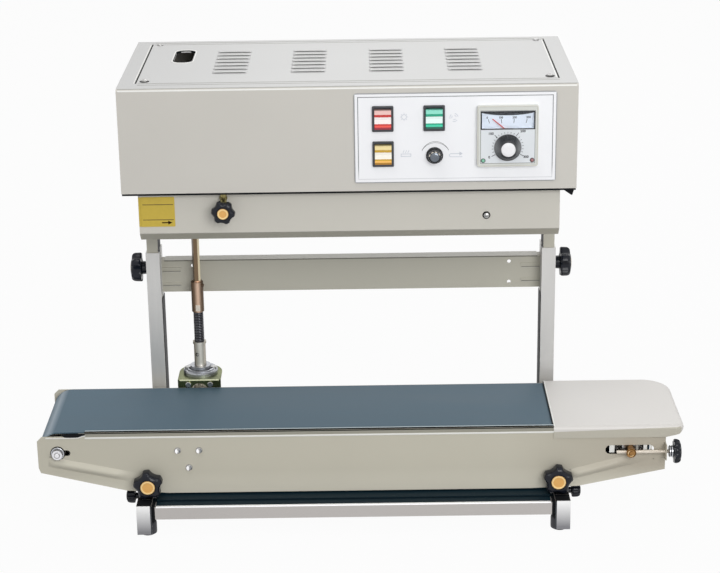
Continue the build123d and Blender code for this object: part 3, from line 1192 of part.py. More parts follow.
def plate_outline(top, end_top):
    """A side plate's outline: cut away under its ends and the deck, stepped where its left end is low."""
    left, right = PLATE_LEFT, PLATE_RIGHT
    deck_left = DECK_LEFT - SLIDE_GAP
    under_deck = DECK_TOP - DECK_BEND - SLIDE_GAP
    corner = DECK_RIGHT - DECK_CORNER - 4
    under_skirt = DECK_TOP - DECK_SKIRT - 1
    step = [(left + 53, end_top), (left + PLATE_STEP, top)] if end_top < top else []
    return [(left, end_top - 6), (left + 6, end_top), *step, (deck_left, top),
            (deck_left, under_deck), (corner, under_deck), (corner, under_skirt), (right, under_skirt),
            (right, PLATE_RIGHT_BOTTOM), (right - PLATE_RIGHT_RISE, PLATE_BOTTOM + 2.4),
            (right - PLATE_RIGHT_RISE - 61, PLATE_BOTTOM), (left + PLATE_LEFT_RISE + 54, PLATE_BOTTOM),
            (left + PLATE_LEFT_RISE, PLATE_BOTTOM + 4), (left + 2.4, PLATE_END_BOTTOM),
            (left, PLATE_END_BOTTOM + 7)]


def side_plates():
    """Front and back plates, slotted for the roller axles; the front one carries the screw's ear."""
    pieces = []
    slot_half = ROLLER_AXLE_RADIUS + SLIDE_GAP / 2
    tension_slot = (TENSION_X - TENSION_TRAVEL - 13, TENSION_X + 24)
    for front, *tops in ((PLATE_FRONT, PLATE_TOP, PLATE_END_TOP), (EAR_REAR, BACK_PLATE_TOP, BACK_PLATE_TOP)):
        y = (front, front + SHEET)
        through = (y[0] - 1, y[1] + 1)
        plate = prism_y(plate_outline(*tops), *y)
        plate -= block(tension_slot, through, (TENSION_Z - slot_half, TENSION_Z + slot_half))
        for x in tension_slot:
            plate -= rod_y(x, TENSION_Z, slot_half, *through)
        plate -= block((END_ROLLER_X, END_ROLLER_X + END_SLOT), through,
                       (ROLLER_Z - END_BOLT_RADIUS, ROLLER_Z + END_BOLT_RADIUS))
        for x in (END_ROLLER_X, END_ROLLER_X + END_SLOT):
            plate -= rod_y(x, ROLLER_Z, END_BOLT_RADIUS, *through)
        pieces.append(plate)
    front_plate, back_plate = pieces
    front_y = (PLATE_FRONT - 1, PLATE_FRONT + SHEET + 1)
    lip_x = (PLATE_LEFT + PLATE_STEP, DECK_LEFT - SLIDE_GAP)
    lip_z = (PLATE_TOP - SHEET, PLATE_TOP)
    front_plate += block(lip_x, (PLATE_FRONT, PLATE_FRONT + PLATE_LIP), lip_z)
    for x, z in carrier_bolts():
        front_plate -= rod_y(x, z, CONVEYOR_BOLT[2] + RUN_GAP, *front_y)
    for side in (-1, 1):
        front_plate -= rod_y(side * CARRIAGE_KNOB_X, CARRIAGE_KNOB_Z, CARRIAGE_KNOB[3] + RUN_GAP, *front_y)
    front_plate += block((PLATE_RIGHT - SHEET, PLATE_RIGHT), (PLATE_FRONT - EAR_REACH, PLATE_FRONT),
                         (TENSION_Z - EAR_HALF, TENSION_Z + EAR_HALF))
    front_plate -= rod_x(TENSION_ROD_Y, TENSION_Z, TENSION_KNOB[3] + RUN_GAP,
                         PLATE_RIGHT - SHEET - 1, PLATE_RIGHT + 1)
    back_y = (EAR_REAR - 1, PLATE_BACK + 1)
    left, right = bracket_width()
    back_plate += block((left, right), (EAR_REAR, PLATE_BACK), (PLATE_END_TOP, BRACKET_TOP - BRACKET_SHEET))
    back_plate -= bracket_arch(*back_y)
    back_plate -= rod_y(DRIVE_X, ROLLER_Z, ROLLER_AXLE_RADIUS + 1, *back_y)
    for x, z in bracket_bolts():
        back_plate -= rod_y(x, z, CONVEYOR_BOLT[2] + RUN_GAP, *back_y)
    for side in (-1, 1):
        back_plate -= rod_y(side * CARRIAGE_KNOB_X, CARRIAGE_KNOB_Z, CONVEYOR_BOLT[2] + RUN_GAP, *back_y)
    return [front_plate, back_plate]


def bed_plate():
    """The plate that the belt slides on, let in for the drive roller, with a rounded nose."""
    y = (PLATE_FRONT + SHEET, PLATE_BACK - SHEET)
    left = END_ROLLER_X + ROLLER_RADIUS + 3
    bed = block((left, BED_RIGHT), y, (BED_TOP - BED_SHEET, BED_TOP))
    nose_edge_y = (BELT_FRONT, BELT_BACK)
    bed += rod_y(BED_RIGHT, BED_TOP - BED_NOSE, BED_NOSE - SLIDE_GAP / 3, *nose_edge_y)
    bed -= block((DRIVE_X - ROLLER_RADIUS - 2, DRIVE_X + ROLLER_RADIUS + 2), (BELT_FRONT + 2, BELT_BACK - 2),
                 (BED_TOP - BED_SHEET - 1, BED_TOP + 1))
    return [bed]


def hood_form(right, y, z, corner, bend):
    """A rounded block over the conveyor's far end, curving under at its nose."""
    outline = Pos(0, 0, z[0]) * make_face(Polyline((DECK_LEFT, y[0]), (right, y[0]), (right, y[1]),
                                                   (DECK_LEFT, y[1]), close=True))
    form = extrude(outline, amount=z[1] - z[0])
    upright = form.edges().filter_by(Axis.Z).sort_by(Axis.X)[-2:].sort_by(Axis.Y)
    form = fillet(upright[1], corner)
    front_corner = form.edges().filter_by(Axis.Z).sort_by(Axis.Y)[:2].sort_by(Axis.X)[-1]
    form = fillet(front_corner, corner * 0.3)
    rim = form.faces().sort_by(Axis.Z)[-1].edges().filter_by(lambda edge: edge.center().X > DECK_LEFT + 1)
    form = fillet(rim, bend)
    height = z[1] - z[0] - bend
    reach = DECK_SKIRT * 1.45
    under = [(right - reach, z[0] - 1), (right - reach, z[0]), (right - reach * 0.25, z[0] + height * 0.36),
             (right, z[0] + height * 0.85), (right + 5, z[0] + height * 0.85), (right + 5, z[0] - 1)]
    return form - prism_y(under, y[0] - 1, y[1] + 1)


def deck_hood():
    """The smooth sheet deck that bags slide off over, with skirts outside both plates."""
    low = DECK_TOP - DECK_SKIRT
    outside = hood_form(DECK_RIGHT, (PLATE_FRONT - SHEET, PLATE_BACK + SHEET), (low, DECK_TOP),
                        DECK_CORNER, DECK_BEND)
    inside = hood_form(DECK_RIGHT - SHEET, (PLATE_FRONT, PLATE_BACK), (low - 1, DECK_TOP - SHEET),
                       DECK_CORNER - SHEET, DECK_BEND - SHEET)
    inside = Pos(-1, 0, 0) * inside + inside
    return [outside - inside]


# ---------------------------------------------------------------- carriage, bolts and knobs
def carriage_frame():
    """Ears that ride on the side bars, each with a plate behind its side plate, and two cross channels."""
    outer = -EAR_IN - EAR_SHEET
    pad_low = SIDE_BAR_TOP + 0.2
    pad_high = pad_low + EAR_PAD_SHEET
    low = CLAMP_Z - 6
    ears = []
    front = ((EAR_FRONT, EAR_FRONT + EAR_LENGTH), (EAR_FRONT, EAR_FRONT + 2), CARRIAGE_KNOB[3])
    rear = ((EAR_REAR - EAR_LENGTH, EAR_REAR), (EAR_REAR - 2, EAR_REAR), CONVEYOR_BOLT[2])
    for y, plate_y, radius in (front, rear):
        ear = block((outer, -EAR_IN), y, (low, pad_high))
        ear += block((-SIDE_BAR_OUT + 1.5, -EAR_IN), y, (pad_low, pad_high))
        inner = -CARRIAGE_KNOB_X + 25
        ear += block((-CARRIAGE_KNOB_X - 8, inner), plate_y, (pad_high, CARRIAGE_KNOB_Z + 5.5))
        ear += block((outer + SLIDE_GAP, inner), plate_y, (CHANNEL_LOW, pad_high))
        ear -= rod_y(-CARRIAGE_KNOB_X, CARRIAGE_KNOB_Z, radius + RUN_GAP, plate_y[0] - 1, plate_y[1] + 1)
        ears.append(ear)
    clamp_y = (CLAMP_Y - CLAMP_LENGTH / 2, CLAMP_Y + CLAMP_LENGTH / 2)
    clamp_z = (low, SIDE_BAR_TOP - SIDE_BAR_SHEET - SLIDE_GAP)
    ears[0] += block((-SIDE_BAR_OUT + SIDE_BAR_SHEET + SLIDE_GAP, outer), clamp_y, clamp_z)
    ears[0] -= rod_x(CLAMP_Y, CLAMP_Z, SIDE_KNOB[3] + RUN_GAP, -SIDE_BAR_OUT, outer + 1)
    pieces = both_sides(ears[0]) + both_sides(ears[1])
    for front in (EAR_FRONT + 2, EAR_REAR - 2 - CHANNEL_DEPTH):
        y = (front, front + CHANNEL_DEPTH)
        z = (CHANNEL_LOW, CHANNEL_LOW + CHANNEL_HEIGHT)
        channel = block((-EAR_IN, EAR_IN), y, z)
        channel -= block((-EAR_IN - 1, EAR_IN + 1), (y[0] + 2, y[1] - 2), (z[0] - 1, z[1] - 2))
        pieces.append(channel)
    return pieces


def conveyor_bolts():
    """The end roller's axle with its washers and nuts, and the bolts of the carriers, bracket and ears."""
    end_radius = END_BOLT_RADIUS - 0.15
    pieces = []
    axle = rod_y(END_ROLLER_X, ROLLER_Z, ROLLER_AXLE_RADIUS, EAR_FRONT, EAR_REAR)
    axle += rod_y(END_ROLLER_X, ROLLER_Z, end_radius, PLATE_FRONT - 8, PLATE_BACK + 8)
    pieces.append(axle)
    hexagon = RegularPolygon(7.4, 6)
    for y, side in ((PLATE_FRONT, -1), (PLATE_BACK, 1)):
        washer = rod_y(END_ROLLER_X, ROLLER_Z, 8.5, *sorted((y, y + side * 1.5)))
        pieces.append(washer - axle)
        nut = Pos(END_ROLLER_X, y + side * 1.5, ROLLER_Z) * Rot(-90 * side, 0, 0) * extrude(hexagon, amount=5)
        pieces.append(nut - axle)
    for x, z in carrier_bolts():
        pieces.append(screw_y(x, z, PLATE_FRONT, *CONVEYOR_BOLT, SHEET + CARRIER_THICK))
    front = EAR_REAR - BRACKET_SHEET
    for x, z in bracket_bolts():
        bolt = screw_y(x, z, front, *CONVEYOR_BOLT, BRACKET_SHEET + SHEET + 5)
        nut = rod_y(x, z, CONVEYOR_BOLT[0], PLATE_BACK, PLATE_BACK + 3)
        pieces += [bolt, nut - bolt]
    for side in (-1, 1):
        x = DRIVE_X + side * FLANGE_BOLT_REACH
        top = BRACKET_TOP + FLANGE_THICK
        under = BRACKET_TOP - BRACKET_SHEET
        bolt = post(x, DRIVE_Y, CONVEYOR_BOLT[0], top, top + CONVEYOR_BOLT[1])
        bolt += post(x, DRIVE_Y, CONVEYOR_BOLT[2], under - 5, top)
        nut = post(x, DRIVE_Y, CONVEYOR_BOLT[0], under - 3, under)
        pieces += [bolt, nut - bolt]
        bolt = screw_y(side * CARRIAGE_KNOB_X, 0, 0, *CONVEYOR_BOLT, SHEET + 3)
        pieces.append(Pos(0, PLATE_BACK, CARRIAGE_KNOB_Z) * (Rot(0, 0, 180) * bolt))
    return pieces


FACING_FRONT = Rot(90, 0, 0)
FACING_LEFT = Rot(0, -90, 0)
FACING_RIGHT = Rot(0, 90, 0)


def placed(pieces, place, facing):
    return [place * facing * piece for piece in pieces]


def side_pair(size, lobes, length, x, y, z):
    """Knobs that face outwards on both sides of the machine."""
    pieces = knob_set(size, lobes, length)
    return placed(pieces, Pos(-x, y, z), FACING_LEFT), placed(pieces, Pos(x, y, z), FACING_RIGHT)


def front_knob(size, lobes, length, x, y, z):
    return placed(knob_set(size, lobes, length), Pos(x, y, z), FACING_FRONT)


post_foot = POST_X + POST_WIDTH / 2 + POST_BOSS_LENGTH
post_stud = POST_BOSS_LENGTH + POST_WALL - 0.1
post_knobs = side_pair(POST_KNOB, 5, post_stud, post_foot, POST_MIDDLE_Y, POST_KNOB_Z)
side_knobs = side_pair(SIDE_KNOB, 5, 14, SIDE_BAR_OUT + SLIDE_GAP, CLAMP_Y, CLAMP_Z)
tension_knob = placed(knob_set(TENSION_KNOB, 9, SCREW_LENGTH), Pos(PLATE_RIGHT, TENSION_ROD_Y, TENSION_Z),
                      FACING_RIGHT)
cover_knob = front_knob(COVER_KNOB, 6, 13, COVER_KNOB_X, 0, COVER_KNOB_Z)
carriage_knobs = [front_knob(CARRIAGE_KNOB, 5, 11, side * CARRIAGE_KNOB_X, PLATE_FRONT, CARRIAGE_KNOB_Z)
                  for side in (-1, 1)]

# ---------------------------------------------------------------- one node per kind of piece
nodes = {
    "base_bars": base_bars(),
    "base_feet": base_feet(),
    "outer_posts": outer_posts(),
    "cross_beam": cross_beam(),
    "post_knob_left": post_knobs[0],
    "post_knob_right": post_knobs[1],
    "head_casing": head_casing(),
    "top_cover": top_lid(),
    "chassis_plate": chassis_plate(),
    "inner_posts": inner_posts(),
    "lower_cover": lower_covers(),
    "control_panel": control_panel(),
    "rocker_bezels": switch_bodies(),
    "rocker_red": rocker("red"),
    "rocker_green": rocker("green"),
    "rocker_amber": rocker("amber"),
    "speed_knob": speed_knob(),
    "controller_case": controller_case(),
    "controller_face": meter_scale(),
    "meter_window": meter_window(),
    "meter_needle": meter_needle(),
    "dial_knob": dial_knob(),
    "indicator_lenses": indicator_lenses(),
    "label_plate": label_plate(),
    "cover_knob": cover_knob,
    "cover_latch_post": cover_latch(),
    "guide_wedge": exit_guide(),
    "head_fixings": head_fixings(),
    "gear_motor": gear_motor(),
    "control_board": control_board(),
    "fan_frame": fan_frame(),
    "fan_rotor": fan_rotor(),
    "seal_blocks": seal_blocks(),
    "seal_bands": seal_bands(),
    "drive_wheel_rear": band_wheel(REAR_WHEEL_Y, True, 0),
    "drive_wheel_front": band_wheel(FRONT_WHEEL_Y, True, 180 / GEAR_TEETH),
    "idler_wheel_rear": band_wheel(REAR_WHEEL_Y, False, 0),
    "idler_wheel_front": band_wheel(FRONT_WHEEL_Y, False, 0),
    "timing_belt": timing_belt(),
    "shaft_hub": shaft_hub(),
    "drive_bar": drive_bar(),
    "flex_coil": flex_coil(),
    "lower_coupling": lower_coupling(),
    "bearing_housings": bearing_housings(),
    "bearing_bracket": bearing_bracket(),
    "drive_roller": drive_roller(),
    "end_roller": idle_roller(END_ROLLER_X, ROLLER_Z),
    "tension_roller": idle_roller(TENSION_X, TENSION_Z),
    "conveyor_belt": conveyor_belt(),
    "side_plates": side_plates(),
    "bed_plate": bed_plate(),
    "deck_hood": deck_hood(),
    "carriage_frame": carriage_frame(),
    "tension_knob": tension_knob,
    "tension_axle": tension_axle(),
    "conveyor_bolts": conveyor_bolts(),
    "carriage_knob_left": carriage_knobs[0],
    "carriage_knob_right": carriage_knobs[1],
    "side_knob_left": side_knobs[0],
    "side_knob_right": side_knobs[1],
}

# The model's origin is the middle of its underside
boxes = [piece.bounding_box() for pieces in nodes.values() for piece in pieces]
low = [min(getattr(box.min, axis) for box in boxes) for axis in "XYZ"]
high = [max(getattr(box.max, axis) for box in boxes) for axis in "XYZ"]
origin = (-(low[0] + high[0]) / 2, -(low[1] + high[1]) / 2, -low[2])

os.makedirs("parts", exist_ok=True)
for name, pieces in nodes.items():
    moved = [Pos(*origin) * piece for piece in pieces]
    shape = moved[0] if len(moved) == 1 else Compound(children=moved)
    shape.label = name
    export_step(shape, f"parts/{name}.step")

print("shift to the origin", [round(value, 4) for value in origin])
print("overall size", [round(high[axis] - low[axis], 3) for axis in range(3)])
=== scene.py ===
# %% [markdown]
# # A continuous band sealer
#
# A band sealer closes filled bags: the bag's mouth is carried between two hot bands under
# the head while the bag stands on the belt below. The solids come from the CAD model, which
# is the frame here, and these cells give them their finishes and the finer pieces: moulded
# hand knobs, the wound drive spring, pressed louvres, printed scales and small screws.

import json
from math import cos, pi, radians, sin

import bmesh
import bpy
import numpy as np
from mathutils import Euler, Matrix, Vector


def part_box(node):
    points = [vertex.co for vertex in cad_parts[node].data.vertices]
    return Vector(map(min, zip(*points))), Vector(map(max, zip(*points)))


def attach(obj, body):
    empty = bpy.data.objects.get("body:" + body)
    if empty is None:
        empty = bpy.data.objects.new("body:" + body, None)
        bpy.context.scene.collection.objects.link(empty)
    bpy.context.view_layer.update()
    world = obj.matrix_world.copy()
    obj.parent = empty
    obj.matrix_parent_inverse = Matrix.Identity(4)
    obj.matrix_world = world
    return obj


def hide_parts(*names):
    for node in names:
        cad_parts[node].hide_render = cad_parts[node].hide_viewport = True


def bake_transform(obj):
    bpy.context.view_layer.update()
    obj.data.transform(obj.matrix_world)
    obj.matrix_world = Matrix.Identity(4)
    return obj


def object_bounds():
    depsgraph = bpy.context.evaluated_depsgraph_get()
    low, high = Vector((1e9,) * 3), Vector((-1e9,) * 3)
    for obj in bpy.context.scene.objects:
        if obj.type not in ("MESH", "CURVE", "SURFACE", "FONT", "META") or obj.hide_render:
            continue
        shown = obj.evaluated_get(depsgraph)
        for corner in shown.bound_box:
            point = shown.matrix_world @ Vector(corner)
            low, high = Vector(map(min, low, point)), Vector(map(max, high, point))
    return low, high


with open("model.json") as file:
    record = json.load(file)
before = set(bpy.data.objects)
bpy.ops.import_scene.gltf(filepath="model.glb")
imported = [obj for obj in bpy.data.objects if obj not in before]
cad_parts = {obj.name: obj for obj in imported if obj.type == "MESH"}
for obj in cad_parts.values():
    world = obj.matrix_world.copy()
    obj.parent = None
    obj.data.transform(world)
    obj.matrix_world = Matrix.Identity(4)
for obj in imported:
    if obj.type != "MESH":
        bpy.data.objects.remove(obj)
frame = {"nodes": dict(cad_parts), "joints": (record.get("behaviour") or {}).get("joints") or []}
CAD_BOX = [list(corner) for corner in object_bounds()]
NODES = frame["nodes"]
JOINTS = {joint["name"]: joint for joint in frame["joints"]}
MM = 0.001


# %% Measures of the frame
def corners(node):
    """The low and high corners of a CAD node in metres, as plain numbers for shader maths."""
    return [np.array(corner).tolist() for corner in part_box(node)]


def mm_box(node):
    """The same two corners in millimetres, as arrays for meshes."""
    return [np.array(corner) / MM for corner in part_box(node)]


def axis_of(joint):
    """A point on a joint's axis, in millimetres."""
    return np.array(JOINTS[joint]["pos_m"], float) / MM


print("the head is", (mm_box("head_casing")[1] - mm_box("head_casing")[0]).round(1).tolist(), "mm")


# %% [markdown]
# ## Shader maths as plain expressions
#
# A procedural finish is arithmetic on places and noise. Wrapping a socket in a small class
# lets that arithmetic be written as it is said, and every operator adds one Math node.

# %% A socket that can be added, scaled and compared
class Signal:
    """One number that varies over a surface: the output of a node."""

    def __init__(self, tree, socket):
        self.tree = tree
        self.socket = socket

    def maths(self, operation, *values):
        """Adds a Math node that works on these values in this order."""
        node = self.tree.nodes.new("ShaderNodeMath")
        node.operation = operation
        for number, value in enumerate(values):
            if isinstance(value, Signal):
                self.tree.links.new(value.socket, node.inputs[number])
            else:
                node.inputs[number].default_value = value
        return Signal(self.tree, node.outputs[0])

    def __add__(self, other):
        return self.maths("ADD", self, other)

    def __sub__(self, other):
        return self.maths("SUBTRACT", self, other)

    def __rsub__(self, other):
        return self.maths("SUBTRACT", other, self)

    def __mul__(self, other):
        return self.maths("MULTIPLY", self, other)

    def __truediv__(self, other):
        return self.maths("DIVIDE", self, other)

    def __rtruediv__(self, other):
        return self.maths("DIVIDE", other, self)

    def __lt__(self, other):
        return self.maths("LESS_THAN", self, other)

    def __gt__(self, other):
        return self.maths("GREATER_THAN", self, other)

    def __abs__(self):
        return self.maths("ABSOLUTE", self)

    __radd__ = __add__
    __rmul__ = __mul__

    def least(self, other):
        return self.maths("MINIMUM", self, other)

    def most(self, other):
        return self.maths("MAXIMUM", self, other)

    def sine(self):
        return self.maths("SINE", self)

    def within(self, low, high):
        """One where the value lies between low and high, and zero elsewhere."""
        return (self > low) * (self < high)


print("the signal class is ready")


# %% A finish: one material and the nodes that make it
class Finish:
    """A named material whose nodes are added one call at a time."""

    def __init__(self, name, colour, roughness, metallic=0.0, **extras):
        self.material = bpy.data.materials.new(name)
        self.material.use_nodes = True
        self.tree = self.material.node_tree
        self.shader = self.tree.nodes["Principled BSDF"]
        self.colour = linear(colour)
        self.set(Base_Color=self.colour, Roughness=roughness, Metallic=metallic, **extras)
        self.place = self.node("ShaderNodeTexCoord", output="Object")

    def node(self, kind, settings=(), output=0, **values):
        """Adds a node: its settings are set first, then the values or links of its sockets."""
        node = self.tree.nodes.new(kind)
        for setting, value in dict(settings).items():
            setattr(node, setting, value)
        for name, value in values.items():
            self.feed(node.inputs[name.replace("_", " ")], value)
        return Signal(self.tree, node.outputs[output])

    def feed(self, socket, value):
        """Links a signal to a socket, or sets the socket's own value."""
        if isinstance(value, Signal):
            self.tree.links.new(value.socket, socket)
        else:
            socket.default_value = value

    def set(self, **values):
        """Feeds sockets of the shader, named with _ for each space."""
        for name, value in values.items():
            self.feed(self.shader.inputs[name.replace("_", " ")], value)

    def noise(self, scale, detail=2.0, stretch=(1, 1, 1)):
        """Smooth noise from 0 to 1, with its scale in waves per metre, drawn out along an axis."""
        place = self.node("ShaderNodeMapping", Vector=self.place, Scale=stretch)
        return self.node("ShaderNodeTexNoise", output="Fac", Vector=place, Scale=scale, Detail=detail)

    def axes(self):
        """The three coordinates of the point that is being shaded."""
        parts = self.node("ShaderNodeSeparateXYZ", Vector=self.place)
        return [Signal(self.tree, socket) for socket in parts.socket.node.outputs]

    def mix(self, share, first, second):
        """The first colour where share is 0, and the second where it is 1."""
        blend = self.node("ShaderNodeMix", {"data_type": "RGBA"}, output=2)
        for number, value in ((0, share), (6, first), (7, second)):
            self.feed(blend.socket.node.inputs[number], value)
        return blend

    def tones(self, share, dark, light):
        """The finish's own colour, scaled by dark where share is 0 and by light where it is 1."""
        return self.mix(share, shade(self.colour, dark), shade(self.colour, light))

    def bump(self, height, strength, distance):
        """Relief from a height signal, with its distance in metres."""
        self.set(Normal=self.node("ShaderNodeBump", Height=height, Strength=strength, Distance=distance))


def linear(colour):
    """The linear colour of a display colour given as three numbers from 0 to 255."""
    share = np.array(colour) / 255
    low = share / 12.92
    high = ((share + 0.055) / 1.055) ** 2.4
    return (*np.where(share <= 0.04045, low, high).tolist(), 1.0)


def shade(colour, factor):
    """A linear colour made lighter or darker."""
    return (*[channel * factor for channel in colour[:3]], 1.0)


print("the finish class is ready")


# %% [markdown]
# ## Painted sheet
#
# The casing, covers, beam and conveyor plates are folded sheet with a baked powder coat. The
# powder melts into a fine orange peel, so its relief is noise about a millimetre across, and
# its colour drifts a little over a hand's breadth. One function serves every plain colour, and
# some of those coats are painted highlight and painted shade. A second lays painted shade and
# painted light over zones, such as the casing's level top or a plate's lower edge.

# %% Powder coat
def peel(finish):
    """The faint relief of the orange peel."""
    finish.bump(finish.noise(900, 3), 0.05, 0.0004)


def powder_coat(name, colour, roughness=0.46, specular=0.4):
    """A baked paint with orange peel, a slow drift of tone and faint dust."""
    finish = Finish(name, colour, roughness, Specular_IOR_Level=specular)
    drift = finish.noise(9, 3)
    dust = finish.noise(1400)
    finish.set(Base_Color=finish.tones(drift * 0.6 + dust * 0.4, 0.965, 1.035))
    finish.set(Roughness=drift * 0.10 + (roughness - 0.05))
    peel(finish)
    return finish.material


PAINT_LID = powder_coat("lid_powder_coat", (201, 201, 200))
# A pale coat of painted highlight, laid along edges, folds, beads and rims.
PAINT_HIGHLIGHT = powder_coat("painted_highlight_coat", (232, 232, 228), 0.36)
# A lighter coat of painted light for the beam's top and below its ribs.
BEAM_TOP_LIGHT = powder_coat("beam_painted_top_light", (204, 202, 193), 0.42)
# A darker coat of painted shade for the band where the plate folds under the belt.
PAINT_SHADE = powder_coat("painted_fold_shade_coat", (152, 150, 138), 0.5)
PAINT_BEAM = powder_coat("beam_powder_coat", (191, 188, 175))
# The carriage's own dark enamel, also laid as sheets of painted shade under the carriage.
DARK_PAINT_AND_SHADE = powder_coat("dark_enamel_and_painted_shade", (13, 33, 42), 0.5, 0.12)
PAINT_MOTOR = powder_coat("motor_paint", (70, 74, 78), 0.5)
print("plain powder coats are ready")


# %% Powder coat in zones
def zoned_coat(name, colour, node, zones, roughness=0.46, drift=0.035):
    """Paint in zones: a function of the point and the node's corners gives each share and its colour."""
    finish = Finish(name, colour, roughness, Specular_IOR_Level=0.4)
    paint = finish.tones(finish.noise(9, 3), 1 - drift, 1 + drift)
    for share, second in zones(*finish.axes(), *corners(node)):
        paint = finish.mix(share, paint, linear(second))
    finish.set(Base_Color=paint)
    peel(finish)
    return finish.material


LEVEL_TOP = 0.0004               # a point this near the casing's top is on its level sheet
COVER_FOOT = (0.0008, 0.02)      # the cover's folded foot: behind its face, and up to this height
PLATE_END_SHADE = (0.2, 6)              # length of the plates' painted shade at the screw's end, and how fast it sets in per metre
PLATE_EDGE_LIGHT = (0.03, 40)          # height of the painted light along their lower edge, and how fast it sets in per metre
DECK_FLANGE = 0.0028             # depth of the deck's front flange
DECK_DROP = 0.0024               # how far below the deck's top the line on its flange ends
DECK_CLIMB = (0.0046, 0.157)     # how far that line climbs, over what length


def casing_zones(x, y, z, low, high):
    """The level top is a more neutral, slightly darker grey than the upright faces: painted shade."""
    return [(z > high[2] - LEVEL_TOP, (198, 198, 197))]


def cover_zones(x, y, z, low, high):
    """The folded foot of the cover has a darker, duller colour: painted shade where it faces down."""
    behind, height = COVER_FOOT
    return [((y > low[1] + behind) * (z < low[2] + height), (178, 174, 160))]


def plate_zones(x, y, z, low, high):
    """The plates carry painted shade towards the screw's end and painted light along their lower edge."""
    end_shade_share = ((x - high[0] + PLATE_END_SHADE[0]) * PLATE_END_SHADE[1]).most(0.0).least(1.0)
    edge_light_share = ((low[2] + PLATE_EDGE_LIGHT[0] - z) * PLATE_EDGE_LIGHT[1]).most(0.0).least(1.0)
    return [(end_shade_share, (178, 171, 156)), (edge_light_share, (208, 204, 189))]


def deck_zones(x, y, z, low, high):
    """Painted shade: the front flange has the plates' darker colour below a line that climbs to the right.
    """
    climb, run = DECK_CLIMB
    line = (x - low[0]) * (climb / run) + (high[2] - climb - DECK_DROP)
    return [((y < low[1] + DECK_FLANGE) * ((z - line) < 0.0), (186, 182, 169))]


PAINT = zoned_coat("grey_powder_coat", (203, 200, 193), "head_casing", casing_zones)
PAINT_COVER = zoned_coat("cover_powder_coat", (202, 199, 190), "lower_cover", cover_zones)
PAINT_PLATE = zoned_coat("conveyor_powder_coat", (194, 190, 175), "side_plates", plate_zones, drift=0.03)
PAINT_DECK = zoned_coat("deck_paint", (214, 211, 207), "deck_hood", deck_zones, 0.38, 0.03)
print("zoned powder coats are ready")


# %% [markdown]
# ## Metals
#
# Brushed stainless has fine lines along the way it was rolled, so its noise is drawn out many
# times along one axis; the base's folded ends carry a painted reflection. Turned stock has a
# painted highlight in the middle and painted shade at both sides, castings have a coarse skin,
# and zinc plate with yellow passivation drifts from gold to green.

# %% Brushed stainless
ROLLED = 0.012              # how far the noise is drawn out along the way the sheet was rolled


def post_stainless():
    """Fine lines up the post: noise that is squeezed across them."""
    finish = Finish("brushed_stainless_posts", (212, 211, 209), 0.44, 0.6)
    fine = finish.noise(2600, 3, (1, 1, ROLLED))
    broad = finish.noise(60, 2, (1, 1, ROLLED))
    finish.set(Base_Color=finish.tones(fine * 0.5 + broad * 0.5, 0.86, 1.08), Roughness=fine * 0.16 + 0.36)
    finish.bump(fine, 0.12, 0.0002)
    return finish.material


def base_stainless():
    """Brushed bars whose folded front ends carry a painted reflection, white at the top and grey at the
    foot.
    """
    face, fold = 0.0172, 0.0195      # where the front end's face stops, and its dark fold, from the outside
    low, high = corners("base_bars")
    finish = Finish("brushed_stainless_base", (188, 184, 181), 0.34, 0.8)
    x, y, z = finish.axes()
    fine = finish.noise(2600, 3, (1, ROLLED, 1))
    steel = finish.tones(fine, 0.88, 1.08)
    height = (z - low[2]) / (high[2] - low[2])
    edge = (x - low[0]).least(high[0] - x)
    # painted reflection on the folded ends: grey at the foot, white at the top
    fade = finish.mix(height * 1.15 - 0.1, linear((132, 132, 136)), linear((255, 255, 255)))
    ends = (y < low[1] + 0.0015) * (edge < fold)
    colour = finish.mix(ends * (edge < face), steel, fade)
    finish.set(Base_Color=finish.mix(ends * (edge > face), colour, linear((40, 44, 50))))
    finish.set(Metallic=0.8 - ends * 0.7, Roughness=fine * 0.16 + 0.28)
    finish.bump(fine, 0.1, 0.0002)
    return finish.material


STAINLESS = base_stainless()
STAINLESS_POST = post_stainless()
print("stainless is ready")


# %% Turned, cast and plated metal
def rounded_metal(name, node, sides, middle, left, right, top_of_sleeve):
    """A sleeve with a painted highlight in its middle and painted shade at both sides, and a drawn bar
    above its top whose two tones are a painted lit face and a painted shaded face.
    """
    low, high = corners(node)
    finish = Finish(name, middle, 0.36, 0.7, Specular_IOR_Level=0.2)
    x, _, z = finish.axes()
    x = (x - (low[0] + high[0]) / 2) / ((high[0] - low[0]) / 2)
    lines = finish.noise(900, 3, (1, 1, 0.03))
    bar = finish.mix(x > 0.22, linear(left), linear(right))
    bar = finish.mix(x < -0.38, bar, linear(sides))
    away = (abs(x - 0.08) - 0.08).most(0.0) * 2.0
    sleeve = finish.mix(away.least(1.0), finish.colour, linear(sides))
    colour = finish.mix(z > top_of_sleeve, sleeve, bar)
    finish.set(Base_Color=finish.mix(lines * 0.3, colour, shade(finish.colour, 0.5)))
    finish.set(Roughness=lines * 0.1 + 0.31)
    finish.bump(lines, 0.1, 0.0002)
    return finish.material


def smooth_metal(name, colour, roughness, other=None, skin=0.0):
    """Plated or turned metal whose tone drifts, with the skin of a casting where it has one."""
    finish = Finish(name, colour, roughness, 1.0)
    second = linear(other) if other else shade(finish.colour, 0.8)
    finish.set(Base_Color=finish.mix(finish.noise(55, 3), finish.colour, second))
    finish.set(Roughness=finish.noise(300, 3) * 0.2 + (roughness - 0.1))
    if skin:
        finish.bump(finish.noise(700, 4), skin, 0.0006)
    return finish.material


SLEEVE_TOP = 0.2665         # height of the brass sleeve's top
ALL_SLEEVE = 1.0            # above the whole machine, so there is no bar
